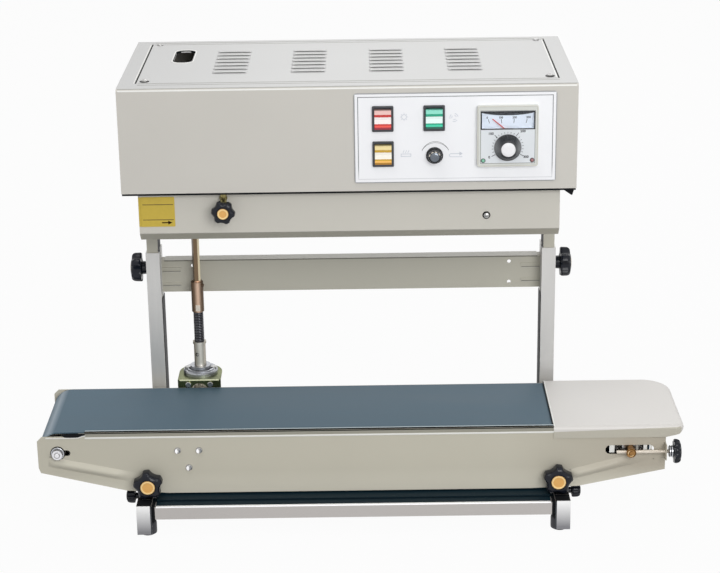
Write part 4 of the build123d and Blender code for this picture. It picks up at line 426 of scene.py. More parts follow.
# The colours given are painted light and shade: dark sides, a bright middle, a shaded and a lit face.
BRASS_BAR = rounded_metal("drawn_brass_bar", "drive_bar", (84, 66, 48), (222, 190, 166),
                          (114, 95, 71), (222, 210, 178), SLEEVE_TOP)
COUPLING = rounded_metal("plated_coupling", "lower_coupling", (112, 103, 84), (255, 250, 238),
                         (150, 142, 134), (172, 168, 156), ALL_SLEEVE)
BRASS = smooth_metal("turned_brass", (176, 134, 84), 0.30, (128, 92, 54))
# Painted shade and painted highlight in brass, for arcs on the trunnion's end.
BRASS_SHADE = smooth_metal("brass_painted_shade", (112, 78, 40), 0.4, (84, 58, 30))
BRASS_HIGHLIGHT = smooth_metal("brass_painted_highlight", (226, 198, 156), 0.3, (196, 160, 110))
LATCH_BRASS = smooth_metal("aged_latch_brass", (168, 158, 112), 0.28, (104, 96, 54))
ZINC = smooth_metal("zinc_plate", (206, 205, 202), 0.26, (128, 128, 130))
ZINC_YELLOW = smooth_metal("yellow_zinc_plate", (140, 146, 98), 0.22, (60, 66, 36))
CASTING = smooth_metal("cast_alloy", (190, 192, 196), 0.36, (140, 143, 148), 0.45)
ALLOY = smooth_metal("machined_alloy", (205, 206, 208), 0.34)
STEEL = smooth_metal("ground_steel", (190, 188, 186), 0.28)
# Bright steel for the key and a stud, also used for painted glints on the speed knob.
KEY_STEEL_AND_GLINTS = smooth_metal("bright_steel_and_painted_glints", (236, 230, 220), 0.4, (196, 184, 168))
# A white metal for painted highlights on the cross tube's edge and the carrier bolts.
HIGHLIGHT_WHITE = smooth_metal("painted_highlight_white", (255, 255, 255), 0.7, (250, 250, 252))
BRIGHT_EDGE = smooth_metal("bright_sheared_edge", (244, 244, 246), 0.4, (226, 226, 230))
CHROME = smooth_metal("chrome", (222, 223, 226), 0.14, (150, 152, 158))
# Dark steel for the speed knob's face, also used for painted shade on bolts and the end nut.
DARK_STEEL_AND_SHADE = smooth_metal("dark_steel_and_painted_shade", (128, 134, 142), 0.26, (84, 90, 98))
SPRING = smooth_metal("oiled_spring_steel", (112, 112, 116), 0.26, (54, 54, 60))
print("metals are ready")


# %% [markdown]
# ## Plastics, rubber, belt and glass
#
# Moulded plastic has a fine spark-eroded texture. The belt is a smooth slate-blue sheet with
# a faint weave and a painted highlight where it rounds the left roller. Lines near a panel's
# edge are worked out from how far inside it a point lies; some of them are painted shade.

# %% Moulded plastic and rubber
def moulded(name, colour, roughness, texture=0.08, specular=0.5):
    """Plastic or rubber with the fine grain of its mould."""
    finish = Finish(name, colour, roughness, Specular_IOR_Level=specular)
    grain = finish.noise(1800)
    finish.set(Base_Color=finish.tones(grain, 0.88, 1.12))
    finish.set(Roughness=finish.noise(120) * 0.14 + (roughness - 0.07))
    finish.bump(grain, texture, 0.0003)
    return finish.material


KNOB_BLACK = moulded("knob_nylon", (20, 23, 32), 0.22, 0.04, 0.27)
BLACK_GLOSS = moulded("glossy_black", (24, 26, 30), 0.18, 0.02, 0.4)
BEZEL_GREY = moulded("switch_bezel", (66, 68, 72), 0.40, specular=0.3)
# Black rubber for real parts, also laid as strips of painted shade and painted reflection.
RUBBER_AND_SHADE = moulded("black_rubber_and_painted_shade", (14, 16, 19), 0.6, specular=0.12)
BEIGE = moulded("controller_shell", (214, 213, 204), 0.42)
# Dark gaps between parts, also painted shade in rings round screws and the end washer.
DARK_GAP_AND_SHADE = moulded("dark_gap_and_painted_shade", (38, 38, 36), 0.7, 0.02, 0.1)
# Painted shade in lines at the beam's fold and above its ribs.
FAINT_SHADE = moulded("faint_painted_shade", (120, 118, 108), 0.6, 0.02)
# Grey for the lid's seams, also painted shade at folds, the casing's bend and round the carrier bolts.
GREY_SEAM_AND_SHADE = moulded("grey_seam_and_painted_shade", (158, 157, 152), 0.6, 0.02)
# A painted highlight along the bearing bracket's edge.
BRACKET_LIGHT = moulded("zinc_yellow_painted_highlight", (238, 240, 200), 0.4, 0.02)
MATT_BLACK = moulded("matt_black_edging", (30, 33, 35), 0.95, 0.02, 0.0)
# A painted highlight along the belt's front edge.
BELT_EDGE_LIGHT = moulded("belt_edge_painted_highlight", (186, 198, 202), 0.5, 0.02)
# Painted shade inside the posts' open channels.
CHANNEL_SHADE = moulded("painted_channel_shade", (50, 50, 52), 0.6, specular=0.2)
METER_DARK = moulded("meter_mask", (44, 46, 52), 0.4, 0.02)
CAP_ORANGE = moulded("orange_cap", (226, 172, 96), 0.42)
# The caps' rims are a lighter copy of the orange: a painted highlight.
CAP_RIM_LIGHT = moulded("orange_cap_rim_painted_highlight", (248, 214, 150), 0.36)
WHITE_CAP = moulded("white_cap", (240, 240, 242), 0.36)
CARD = moulded("scale_card", (226, 232, 240), 0.55, 0.02)
INK = moulded("black_ink", (20, 22, 28), 0.5, 0.0, 0.1)
INK_BROWN = moulded("brown_ink", (50, 30, 14), 0.5, 0.0, 0.1)
INK_FAINT = moulded("grey_ink", (208, 212, 220), 0.5, 0.0)
INK_GREY = moulded("border_ink", (132, 134, 134), 0.5, 0.0)
RED_NEEDLE = moulded("needle_red", (214, 60, 58), 0.4, 0.0)
BOARD_GREEN = moulded("board_green", (38, 96, 62), 0.5)
FOOT_RUBBER = moulded("foot_rubber", (34, 34, 42), 0.42, 0.3)
PTFE = moulded("ptfe_cloth", (156, 122, 86), 0.5, 0.2)
TIMING = moulded("timing_belt_rubber", (26, 26, 28), 0.6)
print("plastics are ready")


# %% The dial's rubber and the belt
SHEEN_GROWS = 95            # per metre sideways from the dial's middle
SHEEN_FADES = 30            # per metre up or down from it


def dial_rubber():
    """Dark rubber with a painted sheen, lighter to the left and right of its middle."""
    finish = Finish("dial_rubber", (40, 42, 46), 0.30, Specular_IOR_Level=0.4)
    low, high = corners("dial_knob")
    x, _, z = finish.axes()
    sideways = abs(x - (low[0] + high[0]) / 2) * SHEEN_GROWS - 0.55
    upward = abs(z - (low[2] + high[2]) / 2) * SHEEN_FADES
    grain = finish.noise(1800)
    sheen = (sideways - upward).most(0.0).least(0.8)
    finish.set(Base_Color=finish.mix(sheen, finish.tones(grain, 0.88, 1.12), linear((132, 134, 136))))
    finish.bump(grain, 0.08, 0.0003)
    return finish.material


def belt_finish():
    """A thin sheet with a weave, and a paler line of painted highlight where it bends round the left roller.
    """
    thread, line_place, line_fall = 2 * pi / 0.0011, 0.013, 120
    finish = Finish("slate_belt", (84, 106, 120), 0.5, Specular_IOR_Level=0.15)
    x, y, _ = finish.axes()
    scuffs = finish.noise(26, 4, (0.25, 1.6, 1))
    away = abs(x - corners("conveyor_belt")[0][0] - line_place)
    roller_highlight = (1.0 - away * line_fall).most(0.0)
    plain = finish.tones(scuffs, 0.93, 1.07)
    finish.set(Base_Color=finish.mix(roller_highlight * 0.55, plain, linear((186, 198, 208))))
    finish.set(Roughness=scuffs * 0.12 + 0.44)
    finish.bump((x * thread).sine() * (y * thread).sine(), 0.05, 0.0001)
    return finish.material


DIAL_GREY = dial_rubber()
BELT = belt_finish()
print("dial and belt are ready")


# %% The panel, the controller and the glass
def edge_distance(finish, node):
    """How far inside a node's outline a point lies, seen from the front: the least of four distances."""
    low, high = corners(node)
    x, _, z = finish.axes()
    return (x - low[0]).least(high[0] - x).least((z - low[2]).least(high[2] - z))


def panel_finish():
    """A slightly blue white with a line of painted shade round its edge, and another line inside it
    which fades to the foot.
    """
    outer_line, inner_line, fade = (-0.0001, 0.0010), (0.0043, 0.0052), 0.02
    finish = Finish("panel_white", (248, 249, 252), 0.30)
    white = finish.tones(finish.noise(30, 3), 0.96, 1.0)
    edge = edge_distance(finish, "control_panel")
    height = (finish.axes()[2] - corners("control_panel")[0][2]) / fade
    inner = edge.within(*inner_line) * height.least(1.0).most(0.3)
    # painted shade: the dark line at the panel's very edge
    outer = edge.within(*outer_line) * 0.8
    finish.set(Base_Color=finish.mix(inner.most(outer), white, linear((112, 114, 118))))
    finish.bump(finish.noise(500), 0.02, 0.0002)
    return finish.material


def controller_finish():
    """A beige frame, fine dark lines of painted shade by the rim and the face, and a pale printed face."""
    face_from, line_from = (0.0044, 0.0066), (0.0038, 0.0060)    # inside the edges, and below the top
    rim_line = (0.0012, 0.0016)
    finish = Finish("controller_moulding", (216, 218, 213), 0.38)
    grain = finish.noise(1600)
    shell = finish.tones(grain, 0.94, 1.05)
    face = finish.mix(finish.noise(40), linear((220, 225, 229)), linear((230, 234, 238)))
    edge = edge_distance(finish, "controller_case")
    depth = (finish.axes()[2] - corners("controller_case")[1][2]) * -1
    inside = (edge > face_from[0]) * (depth > face_from[1])
    # painted shade in fine dark lines round the face's edge and inside the rim
    line = ((edge > line_from[0]) * (depth > line_from[1])) * (1 - inside)
    line = line.most(edge.within(*rim_line) * 0.6)
    colour = finish.mix(inside, shell, face)
    finish.set(Base_Color=finish.mix(line * 0.85, colour, linear((84, 86, 86))))
    finish.bump(grain, 0.05, 0.0002)
    return finish.material


def glass_finish():
    """Thin clear plastic, smudged a little."""
    finish = Finish("clear_window", (250, 252, 255), 0.06, IOR=1.2, Transmission_Weight=1.0)
    finish.set(Roughness=finish.noise(40, 3) * 0.05 + 0.02)
    return finish.material


PANEL = panel_finish()
CONTROLLER = controller_finish()
GLASS = glass_finish()
print("panel, controller and window are ready")


# %% [markdown]
# ## Finishes for the CAD nodes
#
# A CAD node keeps its mesh and only its material slots change, so one table from finishes to
# node names dresses everything whose solid already has the right shape.

# %% Assign the finishes
CAD_FINISHES = {
    STAINLESS: ["base_bars"],
    STAINLESS_POST: ["outer_posts"],
    RUBBER_AND_SHADE: ["base_feet", "guide_wedge"],
    PAINT: ["head_casing", "chassis_plate", "fan_frame"],
    PAINT_LID: ["top_cover"],
    PAINT_COVER: ["lower_cover"],
    PAINT_BEAM: ["cross_beam", "inner_posts"],
    PAINT_PLATE: ["side_plates", "bed_plate"],
    PAINT_DECK: ["deck_hood"],
    DARK_PAINT_AND_SHADE: ["carriage_frame"],
    PAINT_MOTOR: ["gear_motor"],
    PANEL: ["control_panel"],
    BEZEL_GREY: ["rocker_bezels"],
    BLACK_GLOSS: ["speed_knob", "dial_knob"],
    CONTROLLER: ["controller_case"],
    CARD: ["controller_face"],
    GLASS: ["meter_window"],
    RED_NEEDLE: ["meter_needle"],
    BRASS: ["tension_axle"],
    LATCH_BRASS: ["cover_latch_post"],
    BRASS_BAR: ["drive_bar"],
    COUPLING: ["lower_coupling"],
    SPRING: ["flex_coil"],
    CASTING: ["bearing_housings"],
    ZINC_YELLOW: ["bearing_bracket"],
    ZINC: ["head_fixings", "conveyor_bolts"],
    BOARD_GREEN: ["control_board"],
    KNOB_BLACK: ["fan_rotor", "post_knob_left", "post_knob_right", "cover_knob", "tension_knob",
                 "carriage_knob_left", "carriage_knob_right", "side_knob_left", "side_knob_right"],
    ALLOY: ["seal_blocks", "drive_wheel_rear", "drive_wheel_front", "idler_wheel_rear",
            "idler_wheel_front", "shaft_hub"],
    STEEL: ["drive_roller", "end_roller", "tension_roller"],
    PTFE: ["seal_bands"],
    TIMING: ["timing_belt"],
    BELT: ["conveyor_belt"],
}


def dress(node, material):
    """Gives every slot of a CAD node this material."""
    slots = NODES[node].data.materials
    if not slots:
        slots.append(material)
    for number in range(len(slots)):
        slots[number] = material


for material, names in CAD_FINISHES.items():
    for name in names:
        dress(name, material)
print(sum(len(names) for names in CAD_FINISHES.values()), "nodes dressed")


# %% [markdown]
# ## Lit rockers, lamps and the label
#
# A lit rocker's lens is coloured in bands, worked out from how high a point lies on it: the
# lens's lit colours, with painted shade in the lowest band and a painted highlight in the
# near-white one. The label's rules are worked out the same way, from the plate's own box.

# %% Banded lenses
LENS_EDGES = (0.105, 0.21, 0.29, 0.65, 0.79)     # where one band gives way to the next, as shares
# The lowest band is painted shade and the near-white tint band a painted highlight.
LENSES = {  # dark, bright, strong, tint, strong, pale, from the foot up
    "red": ((150, 30, 50), (240, 80, 70), (205, 50, 45), (255, 244, 242), (205, 50, 45), (250, 205, 198)),
    "green": ((10, 90, 75), (60, 210, 170), (15, 165, 130), (236, 255, 251), (15, 165, 130),
              (150, 238, 215)),
    "amber": ((170, 120, 30), (250, 190, 90), (205, 160, 40), (255, 250, 236), (205, 160, 40),
              (253, 232, 170)),
}


def rocker_lens(name, node, colours):
    """Six bands up the lens, each with its own colour, between edges that waver a little."""
    low, high = corners(node)
    finish = Finish(name, colours[3], 0.22, Coat_Weight=0.4, Coat_Roughness=0.05)
    height = (finish.axes()[2] - low[2]) / (high[2] - low[2])
    height = height + (finish.noise(500, 2, (1, 1, 0.2)) - 0.5) * 0.03
    band = linear(colours[0])
    for edge, colour in zip(LENS_EDGES, colours[1:]):
        band = finish.mix(height > edge, band, linear(colour))
    finish.set(Base_Color=band, Emission_Color=band, Emission_Strength=0.06)
    finish.bump((height * 60.0).sine(), 0.2, 0.0003)
    return finish.material


for colour, bands in LENSES.items():
    dress("rocker_" + colour, rocker_lens(colour + "_lens", "rocker_" + colour, bands))
print(len(LENSES), "lenses")


# %% Lamps and label
def lamp_pair(name, node, first, second):
    """Two small lamps that share a node: the first colour at low X and the second at high X."""
    low, high = corners(node)
    finish = Finish(name, first, 0.2, Coat_Weight=0.6)
    colour = finish.mix(finish.axes()[0] > (low[0] + high[0]) / 2, linear(first), linear(second))
    finish.set(Base_Color=finish.mix(finish.noise(1500, 1) * 0.3, colour, linear((255, 255, 255))))
    return finish.material


def label_finish(node):
    """A yellow plate with two dark rules and a frame of bare yellow."""
    low, high = corners(node)
    finish = Finish("yellow_label", (200, 174, 66), 0.42)
    upper_rule, lower_rule, rule_ends = (0.728, 0.758), (0.217, 0.247), (0.06, 0.96)
    x, _, z = finish.axes()
    across = (x - low[0]) / (high[0] - low[0])
    up = (z - low[2]) / (high[2] - low[2])
    rules = up.within(*upper_rule).most(up.within(*lower_rule)) * across.within(*rule_ends)
    yellow = finish.tones(finish.noise(160, 4), 0.92, 1.05)
    finish.set(Base_Color=finish.mix(rules * 0.85, yellow, linear((86, 72, 30))))
    return finish.material


dress("indicator_lenses", lamp_pair("lamp_lenses", "indicator_lenses", (60, 176, 130), (140, 40, 46)))
LABEL = label_finish("label_plate")
dress("label_plate", LABEL)
print("lamps and label are dressed")


# %% [markdown]
# ## Surfaces on a grid
#
# Most of the finer pieces are turned, moulded or bent, so each is a set of rings: a ring is a
# closed curve, and neighbouring rings are joined by four-sided faces. The whole set is worked
# out as one array, from one formula for how far and how high each point lies. A part is its
# points in millimetres and its faces, and it becomes a piece once it is turned and placed.

# %% Rings and sheets
def ring_faces(rows, around, closed=False):
    """Quads between neighbouring rings; the last ring meets the first, or each end has its own face."""
    row, column = np.meshgrid(np.arange(rows if closed else rows - 1), np.arange(around), indexing="ij")
    after = (column + 1) % around
    above = (row + 1) % rows
    quads = (row * around + column, row * around + after, above * around + after, above * around + column)
    faces = np.stack(quads, -1).reshape(-1, 4).tolist()
    if not closed:
        faces.append(list(range(around))[::-1])
        faces.append(list(range((rows - 1) * around, rows * around)))
    return faces


def sheet(points):
    """An open grid of points, of rows by columns by 3, with quads between its neighbours."""
    rows, columns = points.shape[:2]
    row, column = np.meshgrid(np.arange(rows - 1), np.arange(columns - 1), indexing="ij")
    first = row * columns + column
    faces = np.stack((first, first + 1, first + columns + 1, first + columns), -1).reshape(-1, 4)
    return points.reshape(-1, 3), faces.tolist()


def round_z(reach, height, closed=False):
    """Rings about Z: a point is its reach from the axis, at an even step of angle, and at its height."""
    around = reach.shape[1]
    angle = np.linspace(0, 2 * pi, around, endpoint=False)
    rise = np.broadcast_to(height, reach.shape)
    points = np.stack((reach * np.cos(angle), reach * np.sin(angle), rise), -1)
    return points.reshape(-1, 3), ring_faces(len(reach), around, closed)


def turned(profile, around=48, closed=False):
    """A turned part: its profile of (radius, height) is carried round Z."""
    radius, height = (column[:, None] for column in np.array(profile, float).T)
    return round_z(np.broadcast_to(radius, (len(radius), around)), height, closed)


def stacked(levels, closed=False):
    """A part from flat rings: each level is an outline of (x, y) points and its height."""
    rings = [np.column_stack((np.array(line, float), np.full(len(line), z))) for line, z in levels]
    return np.concatenate(rings), ring_faces(len(rings), len(rings[0]), closed)


def slab(outline, low, high):
    """A flat part: an outline carried up from low to high."""
    return stacked([(outline, low), (outline, high)])


print("rings and sheets are ready")


# %% Placing parts and making pieces
TURNS_TO = {
    "up": np.array([[1, 0, 0], [0, 1, 0], [0, 0, 1]]),
    "front": np.array([[1, 0, 0], [0, 0, -1], [0, 1, 0]]),
    "back": np.array([[-1, 0, 0], [0, 0, 1], [0, 1, 0]]),
    "left": np.array([[0, 0, -1], [0, 1, 0], [1, 0, 0]]),
    "right": np.array([[0, 0, 1], [0, 1, 0], [-1, 0, 0]]),
}


def moved(part, x, y, z=0.0):
    """A part carried to another place."""
    points, faces = part
    return points + np.array([x, y, z]), faces


def joined(parts):
    """Several parts as one."""
    points, faces, start = [], [], 0
    for part_points, part_faces in parts:
        points.append(part_points)
        faces += [[start + corner for corner in face] for face in part_faces]
        start += len(part_points)
    return np.concatenate(points), faces


def piece(name, part, material, body, slot, replaces=(), facing="up", place=(0, 0, 0), sharp=38):
    """A mesh object on a body: one part or a list, turned from +Z to face a side, at a place in mm."""
    points, faces = joined(part) if isinstance(part, list) else part
    points = (points @ TURNS_TO[facing].T + np.array(place)) * MM
    mesh = bpy.data.meshes.new(name)
    mesh.from_pydata(points.tolist(), [], faces)
    edit = bmesh.new()
    edit.from_mesh(mesh)
    bmesh.ops.recalc_face_normals(edit, faces=edit.faces)
    edit.to_mesh(mesh)
    edit.free()
    mesh.materials.append(material)
    mesh.shade_smooth()
    mesh.set_sharp_from_angle(angle=radians(sharp))
    obj = bpy.data.objects.new(name, mesh)
    bpy.context.scene.collection.objects.link(obj)
    if body:
        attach(obj, body)
    if replaces:
        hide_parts(*replaces)
    return obj


def front_piece(name, part, y, material, body, slot, replaces=(), middle=(0, 0)):
    """A piece drawn in x and z about a middle, which faces the front from a plane at y."""
    return piece(name, part, material, body, slot, replaces, "front", (middle[0], y, middle[1]))


print("pieces can be placed")


# %% [markdown]
# ## Star knobs
#
# The clamps are tightened by moulded star grips with a coloured cap pressed into the face and
# a steel stud behind. A star is a circle with a round bite between each two lobes, and its
# levels run from the round hub over the full star to the crown.

# %% A star grip
AROUND_STAR = 150
HUB_LENGTH = 6.0
HOLLOW_SHARE = 0.33         # half a hollow's width, as a share of the pitch of the lobes
CORNER_BLEND = 0.022        # how softly hollow and rim meet, as a share of the radius


def star_outline(angle, lobes, depth, phase):
    """A circle of radius 1 with a round bite between each two lobes.

    The bite's circle meets the rim where the hollow starts and reaches 1 - depth in its middle. At an
    angle t from that middle its edge is at d cos t - sqrt(r^2 - d^2 sin^2 t). The corner where bite and
    rim meet is rounded by -k log(exp(-rim / k) + exp(-bite / k)).
    """
    pitch = 2 * pi / lobes
    from_lobe = np.abs((angle - phase + pitch / 2) % pitch - pitch / 2)
    t = pitch / 2 - from_lobe
    half = HOLLOW_SHARE * pitch
    sagitta = np.cos(half) - (1 - depth)
    radius = (np.sin(half) ** 2 + sagitta ** 2) / (2 * sagitta)
    centre = 1 - depth + radius
    bite = centre * np.cos(t) - np.sqrt(np.clip(radius ** 2 - (centre * np.sin(t)) ** 2, 0, None))
    return -CORNER_BLEND * np.log(np.exp(-1 / CORNER_BLEND) + np.exp(-bite / CORNER_BLEND))


def star_grip(diameter, thickness, cap, lobes, depth, phase):
    """Rings at each level: radius = circle * (1 - star) + star * scale * tip, and tip follows the lobes."""
    tip = star_outline(np.linspace(0, 2 * pi, AROUND_STAR, endpoint=False), lobes, depth, phase)
    tip *= diameter / 2 / tip.max()
    top = HUB_LENGTH + thickness
    crown = cap / 2
    levels = [  # share of star, circle's radius, star's scale, height
        (0, diameter * 0.21, 1, 0), (0, diameter * 0.22, 1, HUB_LENGTH - 1.0),
        (0.6, diameter * 0.24, 0.86, HUB_LENGTH), (1, 0, 0.95, HUB_LENGTH + 0.3),
        (1, 0, 0.99, HUB_LENGTH + 1.2), (1, 0, 1.0, HUB_LENGTH + 2.6),
        (1, 0, 0.99, top - 5.4), (1, 0, 0.965, top - 3.6), (1, 0, 0.91, top - 2.1),
        (1, 0, 0.84, top - 1.1), (0.7, crown + 3.0, 0.74, top - 0.5), (0, crown + 2.2, 1, top - 0.3),
        (0, crown + 1.5, 1, top - 0.5), (0, crown + 1.1, 1, top + 0.2), (0, crown + 0.6, 1, top + 0.3),
        (0, crown + 0.3, 1, top), (0, crown + 0.3, 1, top - 1.4)]
    star, circle, scale, height = (column[:, None] for column in np.array(levels).T)
    return round_z(circle * (1 - star) + star * scale * tip, height)


print("the star grip is ready")


# %% Caps and studs
HIGHEST = 0.4               # cap above the grip's face
RIM_SECTION = np.array([(-2.3, 0.1), (-2.0, 0.5), (-1.2, 0.7), (-0.35, 0.5), (-0.2, 0.1)])


def cap_disc(cap, top):
    """The pressed-in cap: a shallow dome inside a raised rim."""
    r = cap / 2
    return turned([(r, top - 1.5), (r + 0.15, top - 0.2), (r - 0.3, top + 0.3), (r - 0.9, top + HIGHEST),
                   (r - 1.3, top + 0.15), (r * 0.5, top + 0.3), (0.3, top + 0.35)], 64)


def cap_rim(cap, top):
    """The cap's rolled rim: its section carried round at the cap's edge."""
    return turned(RIM_SECTION + (cap / 2, top), 64, closed=True)


def threaded(radius, low, high, pitch=1.25, depth=0.35, around=32, steps=6):
    """A thread: reach = radius - depth * tooth(height / pitch - turn), a wave that climbs as it turns."""
    rows = max(int(round((high - low) / pitch * steps, 6)), 4)
    height = np.linspace(low, high, rows)[:, None]
    turn = np.linspace(0, 1, around, endpoint=False)
    tooth = np.abs((height / pitch - turn) % 1 * 2 - 1)
    return round_z(radius - depth * tooth, height)


print("caps and studs are ready")


# %% The eight star knobs
BIG_CAP = 13                # a cap wider than this is orange and has a rim
NEARER_POST = 3.6           # how much nearer to its post a post knob's grip sits
STAR_KNOBS = {  # node: facing, diameter, thickness, cap, lobes, depth of the hollows, phase, stud radius
    "carriage_knob_left": ("front", 38.0, 16.0, 18.0, 5, 0.20, radians(97), 4.0),
    "carriage_knob_right": ("front", 38.0, 16.0, 18.0, 5, 0.20, radians(86), 4.0),
    "cover_knob": ("front", 30.0, 12.0, 13.6, 6, 0.15, radians(112), 2.5),
    "post_knob_left": ("left", 40.0, 14.0, 18.0, 5, 0.26, radians(20), 4.0),
    "post_knob_right": ("right", 40.0, 14.0, 18.0, 5, 0.26, radians(20), 4.0),
    "side_knob_left": ("left", 18.4, 11.0, 8.0, 9, 0.16, 0.0, 3.0),
    "side_knob_right": ("right", 18.4, 11.0, 8.0, 9, 0.16, 0.0, 3.0),
    "tension_knob": ("right", 31.0, 9.0, 12.0, 9, 0.16, 0.0, 2.4),
}


def hub_foot(node, facing, thickness):
    """The hub's foot, a knob's length behind the node's outer face, and how far the stud goes on behind."""
    outward = TURNS_TO[facing][:, 2]
    axis = int(np.argmax(np.abs(outward)))
    low, high = mm_box(node)
    face, tip = (high, low) if outward[axis] > 0 else (low, high)
    place = axis_of(node + "_turn")
    place[axis] = face[axis] - outward[axis] * (HUB_LENGTH + thickness + HIGHEST)
    return place, abs(tip[axis] - place[axis])


for node, (facing, diameter, thickness, cap, lobes, depth, phase, stud) in STAR_KNOBS.items():
    foot, reach = hub_foot(node, facing, thickness)
    if node.startswith("post_knob"):
        foot -= TURNS_TO[facing][:, 2] * NEARER_POST
    top = HUB_LENGTH + thickness
    at_foot = {"facing": facing, "place": foot}
    grip = star_grip(diameter, thickness, cap, lobes, depth, phase)
    piece(node + "_grip", grip, KNOB_BLACK, node, "black_plastic", [node], **at_foot)
    if cap > BIG_CAP:
        piece(node + "_cap_rim", cap_rim(cap, top), CAP_RIM_LIGHT, node, "amber_lens", **at_foot)
    colour = CAP_ORANGE if cap > BIG_CAP else KNOB_BLACK
    piece(node + "_cap", cap_disc(cap, top), colour, node, "amber_lens", **at_foot)
    steel = KEY_STEEL_AND_GLINTS if node == "tension_knob" else ZINC
    piece(node + "_stud", threaded(stud, -reach, HUB_LENGTH), steel, node, "zinc", **at_foot)
print(len(STAR_KNOBS), "star knobs")


# %% Chrome hub of the tension knob
tension_foot, _ = hub_foot("tension_knob", "right", STAR_KNOBS["tension_knob"][2])
ribbed_hub = turned([(2.6, 0.2), (6.6, 0.2), (7.6, 0.8), (7.6, 1.6), (6.4, 2.0), (6.4, 2.8), (7.6, 3.2),
                     (7.6, 4.4), (6.8, 5.0), (6.8, 6.4)], 40)
piece("tension_hub", ribbed_hub, CHROME, "tension_knob", "zinc", facing="right", place=tension_foot)
print("tension hub at", tension_foot.round(1).tolist())


# %% [markdown]
# ## Wound drive spring
#
# The drive runs through a close-wound spring, which lets the shaft bend when the conveyor is
# moved in or out. A round wire is carried along a helix.

# %% The spring
WIRE = 2.3


def wound_wire(middle, wire, low, high, around=10, steps=26):
    """A helix: a point goes round at the middle radius as it climbs, with a ring of wire about it."""
    turns = (high - low) / (wire * 1.04)
    share = np.linspace(0, 1, int(round(turns * steps, 6)))[:, None]
    angle = 2 * pi * turns * share
    outward = np.concatenate((np.cos(angle), np.sin(angle), 0 * angle), 1)
    centre = middle * outward + np.array([0, 0, 1]) * (low + wire / 2 + (high - low - wire) * share)
    round_speed = middle * 2 * pi * turns
    speed = (-np.sin(angle) * round_speed, np.cos(angle) * round_speed, 0 * angle + high - low)
    along = np.concatenate(speed, 1)
    along /= np.linalg.norm(along, axis=1, keepdims=True)
    across = np.cross(along, outward)
    turn = np.linspace(0, 2 * pi, around, endpoint=False)[None, :, None]
    ring = np.cos(turn) * outward[:, None] + np.sin(turn) * across[:, None]
    return (centre[:, None] + wire / 2 * ring).reshape(-1, 3), ring_faces(len(share), around)


coil_low, coil_high = mm_box("flex_coil")
shaft = (coil_low + coil_high) / 2 * (1, 1, 0)       # the shaft's axis, on the floor
wire = wound_wire((coil_high[0] - coil_low[0] - WIRE) / 2, WIRE, coil_low[2], coil_high[2])
spring = piece("wound_spring", wire, SPRING, None, "spring_steel", ["flex_coil"], place=shaft, sharp=80)
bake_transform(spring)
print("spring with", len(spring.data.polygons), "faces")


# %% [markdown]
# ## Driveline fittings
#
# Small fittings finish the driveline: a bright key let into the sleeve, a socket screw in the
# coupling, and the raised ring cast on the bearing flange.

# %% Key, socket screw and flange ring
KEY = [(-2.6, -4.2), (2.6, -4.2), (2.9, -3.8), (2.9, 3.8), (2.6, 4.2), (-2.6, 4.2),
       (-2.9, 3.8), (-2.9, -3.8)]
FLANGE_RING = [(15.0, -0.3), (15.0, 0.9), (15.8, 1.5), (17.6, 1.5), (18.4, 0.9), (18.4, -0.3)]
KEY_HEIGHT = 230.0
FLANGE_THICK = 5.0
bar_low, bar_high = mm_box("drive_bar")
bar_face = (bar_low[1] - bar_high[1]) / 2 + 0.2
piece("sleeve_key", slab(KEY, -1.5, 0.45), KEY_STEEL_AND_GLINTS, "drive_shaft", "zinc", facing="front",
      place=shaft + (0.6, bar_face, KEY_HEIGHT))
socket_screw = turned([(2.4, -3), (2.4, 0.5), (1.9, 0.6), (1.6, 0.3), (1.5, -1.0), (0.2, -1.0)], 24)
piece("coupling_screw", socket_screw, BLACK_GLOSS, "lower_drive", "spring_steel", facing="front",
      place=shaft + (-3.0, -7.2, mm_box("lower_coupling")[1][2] - 17.0))
piece("flange_ring", turned(FLANGE_RING, 60, closed=True), CASTING, "conveyor", "cast_alloy",
      place=shaft + (0, 0, mm_box("bearing_bracket")[1][2] + FLANGE_THICK))
print("driveline fittings")


# %% [markdown]
# ## Pressed sheet
#
# Air leaves the head through louvres: short hoods pressed up from the lid, open to the front
# and running out to nothing at the back. The conveyor's side plates are stiffened by creases
# that are pressed along their tapered ends.

# %% Louvres
LOUVRE_COLUMNS = 4
LOUVRE_ROWS = 7
LOUVRE_PITCH = (98.3, 19.4)
LOUVRE_CENTRE = 110.5       # behind the lid's front edge
HOOD_HALF = 21.6
HOOD_DEPTH = 9.5
HOOD_HEIGHT = 1.05
HOOD_LIP = -2.6             # the open lip, in front of the louvre's own centre
SHEET = 0.5


def louvre_hood(columns=25, rows=9):
    """height = peak * (1 - across^6)^0.5 * cos(quarter turn over the depth)^1.3; the lip is in front."""
    across, back = np.meshgrid(np.linspace(-1, 1, columns), np.linspace(0, 1, rows))
    height = HOOD_HEIGHT * np.sqrt(1 - across ** 6) * np.cos(back * pi / 2) ** 1.3
    return sheet(np.stack((across * HOOD_HALF, back * HOOD_DEPTH + HOOD_LIP, height), -1))


lid_low, lid_high = mm_box("top_cover")
louvre_x, louvre_y = ((np.arange(count) - (count - 1) / 2) * pitch
                      for count, pitch in zip((LOUVRE_COLUMNS, LOUVRE_ROWS), LOUVRE_PITCH))
louvre_x += (lid_low[0] + lid_high[0]) / 2
louvre_y += lid_low[1] + LOUVRE_CENTRE
hoods = [moved(louvre_hood(), x, y, lid_high[2]) for x in louvre_x for y in louvre_y]
louvres = piece("lid_louvres", hoods, PAINT_LID, "head", "paint_grey")
wall = louvres.modifiers.new("sheet", "SOLIDIFY")
wall.thickness = SHEET * MM
wall.offset = 1
print(len(hoods), "louvres")


